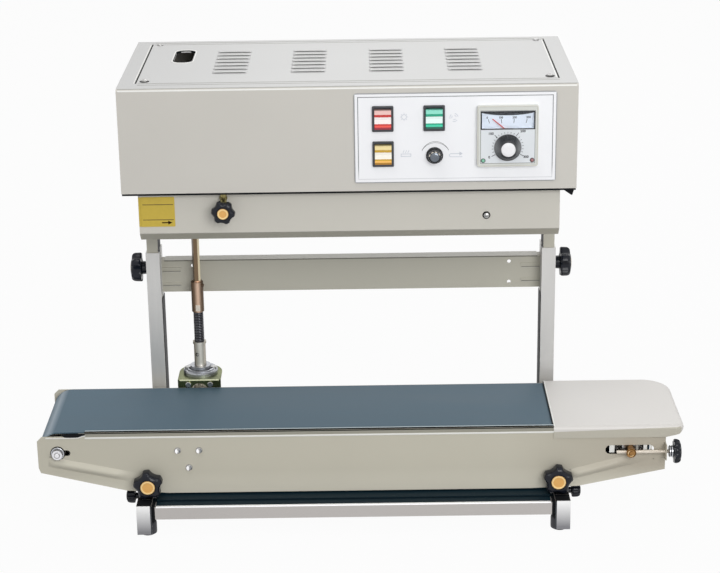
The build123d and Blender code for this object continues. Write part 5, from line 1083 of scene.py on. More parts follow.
# %% Creases in the side plates
CREASE_HALF = 7.0
CREASE_HEIGHT = 4.2
CREASES = [  # both ends, and the share of the length that fades out
    ((13.5, 89.1), (122.0, 65.8), 0.25),
    ((673.0, 62.2), (776.0, 89.0), 0.55),
]
PLATE_INSET = 1.5           # from the deck's edge in to the plate's face


def crease(start, end, fade, rows=48, columns=13):
    """A bead from start to end: height = peak * (1 - across^2)^1.5 * the root of a rise at each end."""
    start, end = np.array(start, float), np.array(end, float)
    run = end - start
    side = np.array([-run[1], run[0]]) / np.hypot(*run)
    along, across = np.meshgrid(np.linspace(0, 1, rows), np.linspace(-1, 1, columns), indexing="ij")
    rise = np.clip(along / 0.08, 0, 1) * np.clip((1 - along) / fade, 0, 1) ** 2.6
    height = CREASE_HEIGHT * (1 - across ** 2) ** 1.5 * rise ** 0.5
    flat = start + along[..., None] * run + (across * CREASE_HALF)[..., None] * side
    return sheet(np.concatenate((flat, height[..., None]), -1))


plates_low, plates_high = mm_box("side_plates")
deck_low, deck_high = mm_box("deck_hood")
plate_front = deck_low[1] + PLATE_INSET
plate_back = deck_high[1] - PLATE_INSET
for number, (start, end, fade) in enumerate(CREASES):
    mirrored = ((-x, z) for x, z in (start, end))
    for side, y, ends in (("front", plate_front, (start, end)), ("back", plate_back, mirrored)):
        piece(f"{side}_crease_{number}", crease(*ends, fade), PAINT_PLATE, "conveyor", "paint_plate",
              facing=side, place=(plates_low[0], y, 0), sharp=80)
print(2 * len(CREASES), "creases")


# %% [markdown]
# ## Outlines and sections
#
# Trim, prints and seals are thin: a flat outline with a little thickness, or a small section
# carried straight along the machine. A few helpers make them, so that a line of print is as
# real a piece as a folded lip and shows from every side.

# %% Outlines, frames, ribbons and figures
def rounded(width, height, corner, steps=7):
    """A rectangle about the origin: four quarter circles of the corner's radius, as (x, y) points."""
    angle = np.arange(4)[:, None] * pi / 2 + np.linspace(0, pi / 2, steps)[None]
    centre = (np.array([width, height]) / 2 - corner) * np.array([(1, 1), (-1, 1), (-1, -1), (1, -1)])
    points = centre[:, None] + corner * np.stack((np.cos(angle), np.sin(angle)), -1)
    return points.reshape(-1, 2)


def frame_band(outer, inner, low, high):
    """A flat frame between two outlines with as many points: four rings that close on themselves."""
    return stacked([(outer, low), (outer, high), (inner, high), (inner, low)], closed=True)


def arc(centre, radius, start, end, steps=24):
    """Points on a circle, from one angle to another in degrees."""
    angle = np.radians(np.linspace(start, end, steps))
    return np.array(centre) + radius * np.stack((np.cos(angle), np.sin(angle)), -1)


def stroke(line, width, low=-0.05, high=0.12):
    """A ribbon along a line: each point is moved half the width to both sides of the way it runs."""
    line = np.array(line, float)
    along = np.gradient(line, axis=0)
    along /= np.linalg.norm(along, axis=1, keepdims=True)
    side = np.stack((-along[:, 1], along[:, 0]), -1) * width / 2
    return slab(np.concatenate((line + side, (line - side)[::-1])), low, high)


def figures(text, height, thickness=0.12):
    """Printed figures from Blender's own font, made a mesh and read back as points and faces."""
    curve = bpy.data.curves.new("figures", "FONT")
    curve.body = text
    curve.size = height * 1.38
    curve.extrude = thickness / 2
    curve.offset = height * 0.035
    curve.resolution_u = 3
    curve.align_x, curve.align_y = "CENTER", "CENTER"
    holder = bpy.data.objects.new("figures", curve)
    mesh = bpy.data.meshes.new_from_object(holder)
    points = np.empty(len(mesh.vertices) * 3)
    mesh.vertices.foreach_get("co", points)
    faces = [list(face.vertices) for face in mesh.polygons]
    bpy.data.objects.remove(holder)
    bpy.data.curves.remove(curve)
    bpy.data.meshes.remove(mesh)
    return points.reshape(-1, 3), faces


print("outlines are ready")


# %% Straight sections
def carried(section, low, high):
    """A closed section of (y, z) points, carried straight from x = low to x = high."""
    section = np.array(section, float)
    ends = [np.column_stack((np.full(len(section), x), section)) for x in (low, high)]
    return np.concatenate(ends), ring_faces(2, len(section))


def bar(x, y, z):
    """A straight strip between two values of x, of y and of z."""
    return carried([(y[0], z[0]), (y[1], z[0]), (y[1], z[1]), (y[0], z[1])], *x)


def span(start, low, high):
    """Two values, measured from a start."""
    return start + low, start + high


print("straight sections are ready")


# %% [markdown]
# ## Seams, painted shade and highlights
#
# The lid drops into the casing, so a dark gap runs down each side of it and a fine one along
# the front and the back. Dark strips of painted shade lie under the casing's foot and along the
# belt's edges, with painted highlights beside them. Each is a small section carried across,
# because these thin lines make folded sheet look assembled.

# %% Seams of the lid and the bend
BEND = 4.0                  # radius of the fold along the casing's front edge
casing_low, casing_high = mm_box("head_casing")
roof = casing_high[2]
lid_x, lid_y = zip(lid_low[:2], lid_high[:2])
seam_y = (lid_y[0] + 1, lid_y[1] - 8)
seam_z = span(roof, -0.2, 0.15)
seams = [bar(span(x, -0.9, 0.9), seam_y, seam_z) for x in lid_x]
piece("lid_side_seams", seams, DARK_GAP_AND_SHADE, "head", "black_plastic")
# Grey lines along the lid's front and back: the seams, and painted shade at the folds beside them.
fold_lines = {lid_y[0]: 1.0, lid_y[1]: 1.0, lid_y[0] - 8.5: 0.7, lid_y[1] - 9.0: 0.7}      # y: half a width
folds = [bar((lid_x[0] + 3, lid_x[1]), span(y, -half, half), seam_z) for y, half in fold_lines.items()]
piece("lid_fold_lines", folds, GREY_SEAM_AND_SHADE, "head", "paint_grey")
# Painted highlights beside the side seams.
lights = [bar(span(x, -2.9, -1.5), seam_y, span(roof, -0.2, 0.1)) for x in lid_x]
piece("lid_seam_highlights", lights, PAINT_HIGHLIGHT, "head", "paint_grey")


def bend_line(start, end):
    """A sliver on the casing's bend: two arcs about the bend's centre, from one angle to another."""
    centre = (casing_low[1] + BEND, roof - BEND)
    return np.concatenate((arc(centre, BEND + 0.08, start, end, 6), arc(centre, BEND - 0.3, end, start, 6)))


bend_x = (casing_low[0] + 2, casing_high[0] - 2)
piece("bend_shadow", carried(bend_line(128, 112), *bend_x), GREY_SEAM_AND_SHADE, "head", "paint_grey")
piece("bend_light", carried(bend_line(172, 148), *bend_x), PAINT_HIGHLIGHT, "head", "paint_grey")
print("lid seams and bend lines")


# %% Foot of the casing
COVER_LIGHT = (417.4, 418.9)    # heights of the painted highlight along the cover's upper edge
FOOT_SHADE = (419.2, 421.7)      # heights of the strip of painted shade under the casing
cover_low, cover_high = mm_box("lower_cover")
cover_light = bar((cover_low[0] + 0.5, cover_high[0] - 0.5), span(cover_low[1], -0.1, 0.1), COVER_LIGHT)
piece("cover_top_light", cover_light, PAINT_HIGHLIGHT, "head", "paint_cover")
foot_shade = bar((casing_low[0] + 0.8, casing_high[0] - 0.8), span(casing_low[1], 0.2, 6), FOOT_SHADE)
piece("casing_foot_shade", foot_shade, RUBBER_AND_SHADE, "head", "black_plastic")
print("the casing's foot")


# %% Edges of the belt
LIP = [(0.3, 2.0), (4.6, 2.0), (4.6, 0.35), (0.1, 0.35), (-0.35, 0.6), (-0.35, 1.6)]
BEAD = [(0.1, -6.6), (-0.6, -6.2), (-0.95, -5.3), (-0.75, -4.4), (0.1, -4.0)]
belt_low, belt_high = mm_box("conveyor_belt")
belt_top = belt_high[2]
strip_x = (plates_low[0] + 60.5, deck_low[0])
corner = (plate_front, belt_top)
# Painted shade in a dark strip at the belt's edge and on the plate's fold, painted highlights on the belt's
# edge and the plate's bead, and painted shade and highlight at the hood's edge.
piece("belt_edge_shade", carried(np.array(LIP) + corner, *strip_x), RUBBER_AND_SHADE, "conveyor", "rubber_black")
belt_light = bar(strip_x, span(plate_front, 4.8, 6.6), span(belt_top, 0.9, 2.3))
piece("belt_edge_light", belt_light, BELT_EDGE_LIGHT, "conveyor", "rubber_black")
fold_shade = bar(strip_x, span(plate_front, -0.12, 0.1), span(belt_top, -3.9, 0.4))
piece("plate_fold_shade", fold_shade, PAINT_SHADE, "conveyor", "paint_plate")
bead = carried(np.array(BEAD) + corner, strip_x[0], strip_x[1] + 20)
piece("plate_bead_highlight", bead, PAINT_HIGHLIGHT, "conveyor", "paint_plate")
hood_shade = bar(span(deck_low[0], -1.0, 0.3), (belt_low[1], belt_high[1]), span(belt_top, 0.05, 2.3))
piece("hood_edge_shade", hood_shade, RUBBER_AND_SHADE, "conveyor", "rubber_black")
hood_light = bar(span(deck_low[0], 0.35, 1.9), (belt_low[1] - 6, belt_high[1] + 3), span(belt_top, 2.0, 2.4))
piece("hood_edge_light", hood_light, PAINT_HIGHLIGHT, "conveyor", "paint_deck")
print("belt edges")


# %% Step of the front plate
GAP = [(33.0, -3.0), (37.0, -4.2), (51.5, -4.3), (57.0, -2.4), (61.0, -1.2), (61.0, 1.3), (33.0, 0.6)]
STEP = [(11.0, -4.9), (30.0, -4.9), (48.0, -4.9), (52.5, -4.5), (57.0, -2.9), (61.5, -1.9)]
step_corner = (plates_low[0], belt_top)
# Painted shade over the gap at the plate's step, and a painted highlight along its lower edge.
gap = slab(np.array(GAP) + step_corner, -0.1, 0.15)
front_piece("plate_step_shade", gap, plate_front - 0.1, RUBBER_AND_SHADE, "conveyor", "rubber_black")
step = stroke(np.array(STEP) + step_corner, 1.1, -0.1, 0.3)
front_piece("plate_step_highlight", step, plate_front - 0.1, PAINT_HIGHLIGHT, "conveyor", "paint_plate")
print("plate step")


# %% [markdown]
# ## Stand and carriage
#
# The stand is stainless and the carriage on it dark, and the two slide on each other. Dark
# sheets of painted shade and painted reflection lie where they meet, painted shade fills a
# channel's open side, and the front ends stand on round feet. The painted beam between the
# posts has a lighter top of painted light and short ribs drawn in painted shade and highlight.
# The bracket under the bearing has a painted highlight along its edge, and pale blocks of
# painted highlight show in the tension slot.

# %% Painted shade, painted reflection and skirts
BAR_WALL = 3.0              # thickness of a side bar's steel
SIDE_BAR = 19.0             # width of a side bar
TUBE_DROP = 2.5             # how far the cross tubes' tops lie below the side bars' tops
base_low, base_high = mm_box("base_bars")
front, bar_top = base_low[1], base_high[2]
tube_top = bar_top - TUBE_DROP
carriage_front = mm_box("carriage_frame")[0][1]
middle_x = (base_low[0] + base_high[0]) / 2
between = span(middle_x, -248.0, 248.0)
# Dark sheets of painted shade under the carriage and on the cross tube, a painted highlight on the tube's
# edge, and painted reflection on the side bars' tops.
carriage_shade = bar(between, span(carriage_front, -17, 1), (40.0, 41.4))
piece("carriage_shade_sheet", carriage_shade, DARK_PAINT_AND_SHADE, "conveyor", "paint_dark")
tube_shade = bar(between, span(front, BAR_WALL + 0.9, 19), span(tube_top, -0.1, 0.3))
piece("cross_tube_shade", tube_shade, DARK_PAINT_AND_SHADE, "stand", "paint_dark")
tube_highlight = bar(between, span(front + BAR_WALL, -0.15, 3.2), span(tube_top, -1.0, 0.4))
piece("cross_tube_highlight", tube_highlight, HIGHLIGHT_WHITE, "stand", "stainless")
bars = [span(base_low[0], 0.4, SIDE_BAR - 0.4), span(base_high[0], 0.4 - SIDE_BAR, -0.4)]
bar_reflections = [bar(x, span(front, 1.2, 19.0), span(bar_top, -0.05, 0.15)) for x in bars]
piece("side_bar_reflections", bar_reflections, RUBBER_AND_SHADE, "stand", "paint_dark")
skirts = [bar(x, span(carriage_front, -18.0, 0.5), span(bar_top, 0.3, 0.6)) for x in bars]
piece("carriage_skirts", skirts, RUBBER_AND_SHADE, "conveyor", "paint_dark")
print("mats and skirts")


# %% Posts and feet
POST_SHADE = (45.0, 238.0)      # heights between which painted shade shows in an outer post's channel
INNER_FOOT = 300.0              # height at which the painted shade beside an inner post starts
FOOT = [(7.4, 0.3), (8.5, 1.2), (8.8, 3.0), (8.8, 14.5), (8.2, 16.6), (6.8, 17.6), (6.0, 18.6), (6.0, 22.0)]
post_low, post_high = mm_box("outer_posts")
post_shades = [bar(span(x, -0.4, 0.4), (post_low[1] + 7.0, post_high[1] - 1.0), POST_SHADE)
          for x in (post_low[0] + 23.4, post_high[0] - 23.4)]
piece("post_channel_shades", post_shades, CHANNEL_SHADE, "stand", "black_plastic")
inner_x = mm_box("inner_posts")[1][0] - 14.4
inner_sides = (span(2 * middle_x - inner_x, -0.1, 0.25), span(inner_x, -0.25, 0.1))
inner_post_shades = [bar(x, (post_low[1] + 4.0, post_high[1] - 4.0), (INNER_FOOT, cover_low[2]))
                for x in inner_sides]
piece("inner_post_shade_strips", inner_post_shades, CHANNEL_SHADE, "head", "black_plastic")
feet = [moved(turned(FOOT, 56), x, front + 12.6) for x in (base_low[0] + 14.9, base_high[0] - 14.9)]
piece("front_feet", feet, FOOT_RUBBER, "stand", "black_plastic")
print("liners and feet")


# %% Beam
RIB_LENGTH = 25.0
RIB_HEIGHTS = (9.3, 28.9)       # above the beam's foot
# The ribs are drawn in painted shade with painted highlight below; the beam's top is a sheet of painted
# light, with painted shade at its front fold.
RIBS = {"beam_rib_shades": (-0.5, 0.3, FAINT_SHADE), "beam_rib_lights": (-1.3, -0.5, BEAM_TOP_LIGHT)}
beam_low, beam_high = mm_box("cross_beam")
beam_x = (beam_low[0] + 4, beam_high[0] - 4)
top_light_sheet = bar(beam_x, (beam_low[1] + 0.6, beam_high[1] + 2.5), span(beam_high[2], -0.2, 0.35))
piece("beam_top_painted_light", top_light_sheet, BEAM_TOP_LIGHT, "stand", "paint_beam")
fold = bar(beam_x, span(beam_low[1], -0.12, 0.5), span(beam_high[2], -1.1, 0.1))
piece("beam_fold_shade", fold, FAINT_SHADE, "stand", "paint_beam")
rib_x = (span(beam_low[0], 1, RIB_LENGTH), span(beam_high[0], -RIB_LENGTH, -1))
for name, (low, high, material) in RIBS.items():
    ribs = [bar(x, span(beam_low[1], -0.1, 0.1), span(beam_low[2] + rib, low, high))
            for rib in RIB_HEIGHTS for x in rib_x]
    piece(name, ribs, material, "stand", "paint_beam")
print("beam with", len(ribs), "ribs")


# %% Bearing bracket and tension slot
BRACKET_TOP = 137.0
# The pale blocks are painted highlights where bright steel shows in the slot.
SLOT_BLOCKS = {  # start and end of each block, from the trunnion's middle
    "slot_highlights": (((-26.0, -19.5), (17.0, 21.5), (25.5, 28.0)), PAINT_HIGHLIGHT),
    "slot_guides": (((7.6, 10.5),), GREY_SEAM_AND_SHADE),
}
bracket_low, bracket_high = mm_box("bearing_bracket")
# A painted highlight along the bracket's top edge.
bracket_highlight = bar((bracket_low[0] + 2.5, bracket_high[0] - 2.5), span(plates_high[1] - 3.5, -0.15, 0.6),
                   span(BRACKET_TOP, -1.4, 0.15))
piece("bracket_highlight", bracket_highlight, BRACKET_LIGHT, "conveyor", "zinc")
trunnion_low, trunnion_high = mm_box("tension_axle")
trunnion = ((trunnion_low + trunnion_high) / 2)[[0, 2]]
for name, (blocks, material) in SLOT_BLOCKS.items():
    blocks = [bar(span(trunnion[0], *block), span(plate_front, 1.7, 2.3), span(trunnion[1], -4.5, 6.5))
              for block in blocks]
    piece(name, blocks, material, "conveyor", "zinc")
print("bracket edge and slot blocks")


# %% [markdown]
# ## Panel prints
#
# The panel's signs are silk-screened in pale grey ink: a lamp, a fan, a heated bar and an
# arrow, with a tapering arc over the speed knob. Each is a ribbon a tenth of a millimetre
# proud, drawn about its own centre and then moved to its place.

# %% Signs beside the switches
SIGN = 5.0                  # half a sign's width
ARC_RADIUS = 18.6
rays = np.radians(np.arange(0, 360, 45))
lamp_sign = [stroke(arc((0, 0), SIGN * 0.6, 0, 360, 30), 0.8)]
lamp_sign += [stroke(np.outer((0.75 * SIGN, SIGN), (cos(ray), sin(ray))), 0.7) for ray in rays]
fan_sign = [stroke(arc((0, 0), SIGN * share, turn, turn + 70, 10), 0.8)
            for share in (0.55, 1.0) for turn in (10, 130, 250)]
climb = np.linspace(0, 1, 14)
wave = np.column_stack((1.4 * climb - 0.7, 0.5 + 4 * climb + np.sin(6 * climb) * 0.5))
heat_box = ([(-6, -0.5), (6, -0.5)], [(-6, -3.5), (6, -3.5)], [(-6, -0.1), (-6, -3.9)],
            [(6, -0.1), (6, -3.9)])
heat_sign = [stroke(wave + (x, 0), 0.6) for x in (-3, 0, 3)] + [stroke(line, 0.8) for line in heat_box]
arrow_sign = [stroke([(-7, 0), (4, 0)], 0.9), slab([(3.4, -2.6), (7.4, 0), (3.4, 2.6)], -0.05, 0.12),
              stroke([(-7, -4), (7, -4)], 0.8), stroke(arc((-7, -2), 2, 90, 270, 10), 0.8)]
SIGNS = [(lamp_sign, 59.0, 515.4), (fan_sign, 119.9, 513.9),
         (heat_sign, 61.1, 469.2), (arrow_sign, 123.3, 468.3)]
panel_front = mm_box("control_panel")[0][1]
signs = [moved(part, x, z) for sign, x, z in SIGNS for part in sign]
front_piece("panel_signs", signs, panel_front, INK_FAINT, "head", "label")
speed_axis = axis_of("speed_knob_turn")[[0, 2]]
swept = arc(speed_axis + (1.0, -2.6), ARC_RADIUS, 152, 28, 40)
rise = 1.5 * (1 - np.linspace(-1, 1, 40) ** 2)
arcs = [stroke(swept, 0.5), stroke(swept + np.column_stack((0 * rise, rise)), 0.5)]
front_piece("speed_arc", arcs, panel_front, INK_GREY, "head", "label")
print(len(signs), "ribbons of print")


# %% [markdown]
# ## Knobs of the panel
#
# The speed knob is a glossy fluted grip on a skirt, and the temperature dial is a fluted cone
# with a white cap. Both are turned parts whose radius also swings in small waves where a
# finger holds them, which gives true flutes that catch the light.

# %% Fluted knobs
def fluted(profile, flutes, around=240):
    """Rings at (radius, height, wave): reach = radius + wave * cos(flutes * angle)."""
    radius, height, wave = (column[:, None] for column in np.array(profile, float).T)
    angle = np.linspace(0, 2 * pi, around, endpoint=False)
    return round_z(radius + wave * np.cos(flutes * angle), height)


def knob_piece(name, part, y, middle, material, slot, replaces=()):
    """A part of a panel knob, on the knob's own body, with its foot on a plane at y."""
    body = "speed_knob" if name.startswith("speed") else "dial_knob"
    front_piece(name, part, y, material, body, slot, replaces, middle)


speed_grip = fluted([(10.5, 0.1, 0), (10.5, 1.1, 0), (9.9, 1.8, 0), (8.9, 2.2, 0), (8.6, 2.6, 0.1),
                     (8.5, 3.2, 0.35), (8.1, 8.4, 0.35), (7.7, 9.4, 0.3), (7.0, 9.9, 0), (6.4, 9.9, 0),
                     (6.1, 9.5, 0), (5.9, 9.5, 0)], 20)
speed_face = turned([(5.9, 9.2), (5.9, 9.6), (5.5, 10.0), (3.5, 10.4), (0.2, 10.5)])
# Painted glints: short pale arcs on the grip's rim.
glints = [stroke(arc((0, 0), 6.8, turn, turn + 24, 8), 0.9, 9.8, 10.0) for turn in (22, 66, 104, 146)]
pointer = bar((-0.35, 0.35), (3.4, 6.8), (10.1, 10.55))
at_speed = (panel_front, speed_axis)
knob_piece("speed_knob_grip", speed_grip, *at_speed, BLACK_GLOSS, "black_gloss", ["speed_knob"])
knob_piece("speed_knob_glints", glints, *at_speed, KEY_STEEL_AND_GLINTS, "zinc")
knob_piece("speed_knob_face", speed_face, *at_speed, DARK_STEEL_AND_SHADE, "black_gloss")
knob_piece("speed_pointer", pointer, *at_speed, INK_GREY, "label")
print("speed knob at", speed_axis.round(1).tolist())


# %% Temperature dial
dial_grip = fluted([(15.8, 0.2, 0), (16.6, 0.5, 0), (16.7, 1.6, 0), (16.3, 2.2, 0), (15.9, 2.5, 0.2),
                    (15.2, 3.4, 0.4), (12.0, 10.0, 0.4), (11.2, 11.2, 0.25), (10.4, 11.7, 0), (9.3, 11.7, 0),
                    (9.0, 11.2, 0), (8.8, 11.2, 0)], 36, 288)
dial_cap = turned([(8.8, 11.0), (8.8, 12.0), (8.5, 12.6), (7.8, 12.9), (4.0, 13.0), (0.2, 13.0)], 72)
dial_axis = axis_of("dial_knob_turn")[[0, 2]]
controller_front = mm_box("controller_case")[0][1]
at_dial = (controller_front, dial_axis)
knob_piece("dial_grip", dial_grip, *at_dial, DIAL_GREY, "black_plastic", ["dial_knob"])
knob_piece("dial_cap", dial_cap, *at_dial, WHITE_CAP, "beige_plastic")
print("dial at", dial_axis.round(1).tolist())


# %% [markdown]
# ## Controller
#
# The controller is a small moulded case with a pale printed face: a scale round the dial, a
# moving-coil meter behind a window and two lamps. The scales' numbers are the only figures,
# and each tick is a short ribbon between two radii.

# %% Scale round the dial
SCALE = {  # angle: figures and where they stand
    210: ("0", -22.6, -12.3), 136: ("100", -20.6, 17.4),
    54: ("200", 18.4, 20.2), -30: ("300", 22.4, -12.3),
}


def tick(angle, inner, outer, width):
    """A ribbon between two radii of the dial, at an angle in degrees."""
    ray = np.array([cos(radians(angle)), sin(radians(angle))])
    return stroke([dial_axis + ray * inner, dial_axis + ray * outer], width)


ticks = [tick(angle, 17.6, 19.6, 0.45) for angle in range(-30, 211, 12)]
ticks += [tick(angle, 17.6, 22.6, 0.6) for angle in SCALE]
numbers = [moved(figures(text, 3.2), dial_axis[0] + x, dial_axis[1] + z) for text, x, z in SCALE.values()]
front_piece("dial_scale", ticks + numbers, controller_front, INK, "head", "label")
print(len(ticks), "ticks and", len(numbers), "numbers")


# %% Rim, window frame and lamp rings
LAMP_RADIUS = 2.0
window_low, window_high = mm_box("meter_window")


def surround(node, outer, inner, low, high):
    """A frame round a node's outline: each outline is what it adds in width and height, and its corner."""
    size, middle = np.diff(mm_box(node), axis=0)[0], np.mean(mm_box(node), axis=0)
    outlines = [rounded(size[0] + wide, size[2] + tall, corner) for wide, tall, corner in (outer, inner)]
    return moved(frame_band(*outlines, low, high), middle[0], middle[2])


rim = surround("controller_case", (-0.3, -0.3, 3.2), (-2.6, -2.6, 2.2), -0.2, 0.5)
front_piece("controller_rim", rim, controller_front, BEIGE, "head", "beige_plastic")
window_frame = surround("meter_window", (2.6, 2.0, 0.8), (-0.4, -0.4, 0.6), -0.4, 0.35)
front_piece("window_frame", window_frame, controller_front, BLACK_GLOSS, "head", "black_plastic")
lamp_low, lamp_high = mm_box("indicator_lenses")
lamp_ring = turned([(LAMP_RADIUS + reach, height) for reach, height in
                    ((0.1, -0.2), (0.9, -0.1), (0.8, 0.4), (0.1, 0.5))], 32, closed=True)
rings = [moved(lamp_ring, x, (lamp_low[2] + lamp_high[2]) / 2)
         for x in (lamp_low[0] + LAMP_RADIUS, lamp_high[0] - LAMP_RADIUS)]
front_piece("lamp_rings", rings, controller_front, BEZEL_GREY, "head", "black_plastic")
print("controller rim, window frame and lamp rings")


# %% Meter card
METER_TICKS = {-23.7: "0", -7.9: "100", 7.9: "200", 23.7: "300"}
LEAN = 0.06                 # how far a mark leans outwards, as a share of its place
card_front = mm_box("controller_face")[0][1]
window_x, window_z = ((window_low + window_high) / 2)[[0, 2]]
half_window = (window_high[0] - window_low[0]) / 2
across = np.linspace(-1, 1, 33)
mask_low = window_high[2] - 1.6 - 3.6 * (1 - across ** 2) ** 0.7
mask = np.column_stack((window_x + across * half_window, mask_low)).tolist()
mask += [(window_x + half_window, window_high[2]), (window_x - half_window, window_high[2])]
front_piece("meter_mask", slab(mask, -0.05, 0.25), card_front, METER_DARK, "head", "black_plastic")
marks = []
for x, text in METER_TICKS.items():
    lean = x * LEAN
    marks.append(stroke([(window_x + x - lean, window_z - 4.6), (window_x + x, window_z + 0.4)], 0.6))
    marks.append(moved(figures(text, 2.6), window_x + x + lean, window_z + 2.4))
front_piece("meter_marks", marks, card_front, INK, "head", "label")
print(len(METER_TICKS), "marks on the meter")


# %% [markdown]
# ## Screws and small plates
#
# The lid and the lower cover are held by small slotted screws, each in a ring of painted shade,
# and the yellow plate carries one dark arrow. Bolts, trunnion and end nut carry short arcs of
# painted highlight and painted shade. The wedge beside the casing's foot guides the bag's
# mouth. They are small, but a bare sheet looks unfinished without them.

# %% Slotted screws
def slotted_head(radius, height):
    """A dome whose middle drops into a slot: height = dome, less the slot's depth where |y| is small."""
    rows, around = 9, 48
    share = np.linspace(1, 0.04, rows)[:, None]
    angle = np.linspace(0, 2 * pi, around, endpoint=False)[None]
    x, y = radius * share * np.cos(angle), radius * share * np.sin(angle)
    dome = height * np.sqrt(1 - 0.75 * share ** 2) - 0.5 * height * (np.abs(y) < radius * 0.2)
    skirt = np.stack((x[:1], y[:1], 0 * x[:1] - 0.3), -1)
    points = np.concatenate((skirt, np.stack((x, y, dome), -1)))
    return points.reshape(-1, 3), ring_faces(rows + 1, around)


def pressed_ring(radius, width):
    """A low torus: a ring section whose height is a half circle."""
    turn = np.linspace(0, pi, 7)
    section = [(radius + width / 2 * cos(t), width * 0.3 * sin(t)) for t in turn.tolist()]
    section = [(radius + width / 2, -0.2)] + section + [(radius - width / 2, -0.2)]
    return turned(section, 40, closed=True)


LID_SCREWS = ((lid_x[0] + 10.0, lid_y[0] + 11.0), (lid_x[1] - 10.0, lid_y[0] + 11.0))
cover_screw = (cover_high[0] - 91.2, cover_low[2] + 29.7)
# Each screw sits in a dark ring of painted shade.
rings = [moved(pressed_ring(5.2, 1.5), x, y, roof) for x, y in LID_SCREWS]
piece("lid_screw_shade_rings", rings, DARK_GAP_AND_SHADE, "head", "paint_dark")
heads = [moved(slotted_head(4.3, 2.0), x, y, roof + 0.9) for x, y in LID_SCREWS]
piece("lid_screw_heads", heads, ZINC, "head", "zinc")
ring = moved(pressed_ring(4.2, 1.6), *cover_screw)
front_piece("cover_screw_shade_ring", ring, cover_low[1], DARK_GAP_AND_SHADE, "head", "paint_dark")
head = moved(slotted_head(3.5, 2.2), *cover_screw, 1.4)
front_piece("cover_screw_head", head, cover_low[1], ZINC, "head", "zinc")
print("slotted screws")


# %% Carrier bolts
BOLT_CIRCLE = 15.6
CIRCLE_CENTRE = (-3.5, -6.0)     # from the drive roller's axis
bolts = axis_of("drive_roller_spin")[[0, 2]] + CIRCLE_CENTRE + arc((0, 0), BOLT_CIRCLE, 30, 270, 3)


def plate_piece(name, parts, material, slot="zinc"):
    """Fittings drawn on the conveyor's front plate."""
    front_piece(name, parts, plate_front, material, "conveyor", slot)


# Painted shade in a ring round each bolt, with a painted highlight and painted shade on its head.
plate_piece("bolt_shade_rings", [moved(pressed_ring(4.0, 0.7), *bolt) for bolt in bolts], GREY_SEAM_AND_SHADE, "paint_dark")
lights = [stroke(arc(bolt, 1.9, 110, 260, 14), 3.2, 2.2, 2.6) for bolt in bolts]
plate_piece("bolt_lights", lights, HIGHLIGHT_WHITE)
shades = [stroke(arc(bolt, 2.6, -50, 60, 12), 1.0, 2.2, 2.55) for bolt in bolts]
plate_piece("bolt_shades", shades, DARK_STEEL_AND_SHADE)
print(len(bolts), "carrier bolts")


# %% Trunnion and end roller's nut
# Arcs of painted shade and painted highlight on the trunnion's end.
TRUNNION_ARCS = {  # radius, start, end, steps and width of each arc
    "trunnion_shades": (((5.3, -60, 200, 26, 1.3), (2.6, 60, 300, 18, 0.9)), BRASS_SHADE),
    "trunnion_lights": (((4.0, 120, 190, 12, 1.5), (3.6, 250, 320, 12, 1.2)), BRASS_HIGHLIGHT),
}
for name, (arcs, material) in TRUNNION_ARCS.items():
    marks = [stroke(arc(trunnion, *sweep), width) for *sweep, width in arcs]
    front_piece(name, marks, trunnion_low[1], material, "tensioner", "brass")
end_axis = axis_of("end_roller_spin")[[0, 2]]
plate_piece("end_washer", moved(pressed_ring(7.3, 2.4), *end_axis, 1.5), CHROME)
plate_piece("end_washer_shadow", moved(pressed_ring(9.0, 0.9), *end_axis), DARK_GAP_AND_SHADE, "paint_dark")
# Arcs of painted shade on the end nut.
nut_shades = [stroke(arc(end_axis, 5.0, 100, 175, 12), 1.1), stroke(arc(end_axis, 4.2, 240, 330, 12), 1.0)]
plate_piece("end_nut_shades", moved(joined(nut_shades), 0, 0, 6.6), DARK_STEEL_AND_SHADE)
nut_dome = turned([(6.4, 6.2), (6.2, 6.7), (5.0, 6.75), (3.4, 6.75), (3.2, 7.6), (2.6, 8.2), (0.2, 8.4)])
plate_piece("end_nut_dome", moved(nut_dome, *end_axis), BRIGHT_EDGE)
print("trunnion and end nut")


# %% Label plate
label_low, label_high = mm_box("label_plate")
margin = bar((cover_low[0] + 0.2, label_low[0] + 0.2), (label_low[1], label_high[1] + 0.1),
             (label_low[2] + 0.2, label_high[2] - 0.2))
piece("label_margin", margin, LABEL, "head", "label")
arrow = [stroke([(4.8, -14.1), (14.5, -14.1)], 1.5, -0.05, 0.1),
         slab([(12.5, -16.6), (18.0, -14.1), (12.5, -11.6)], -0.05, 0.1)]
label_middle = ((label_low + label_high) / 2)[[0, 2]]
front_piece("label_arrow", arrow, label_low[1], INK_BROWN, "head", "label", middle=label_middle)
print("label plate")


# %% Hand hole and bag guide
HAND_HOLE = (-221.9, 83.5)      # middle
HOLE_SIZE = (25.0, 64.0)
HOLE_CORNER = 10.5


def hole_outline(wide, deep, corner):
    """The hand hole's outline, made larger by some width, depth and corner."""
    return rounded(HOLE_SIZE[0] + wide, HOLE_SIZE[1] + deep, HOLE_CORNER + corner, 12)


edge = hole_outline(0.6, 8.0, 0.5)
lining = moved(frame_band(edge, hole_outline(-1.0, -1.0, 0.5), -1.4, 0.25), *HAND_HOLE, roof)
piece("hand_hole_lining", lining, MATT_BLACK, "head", "rubber_black")
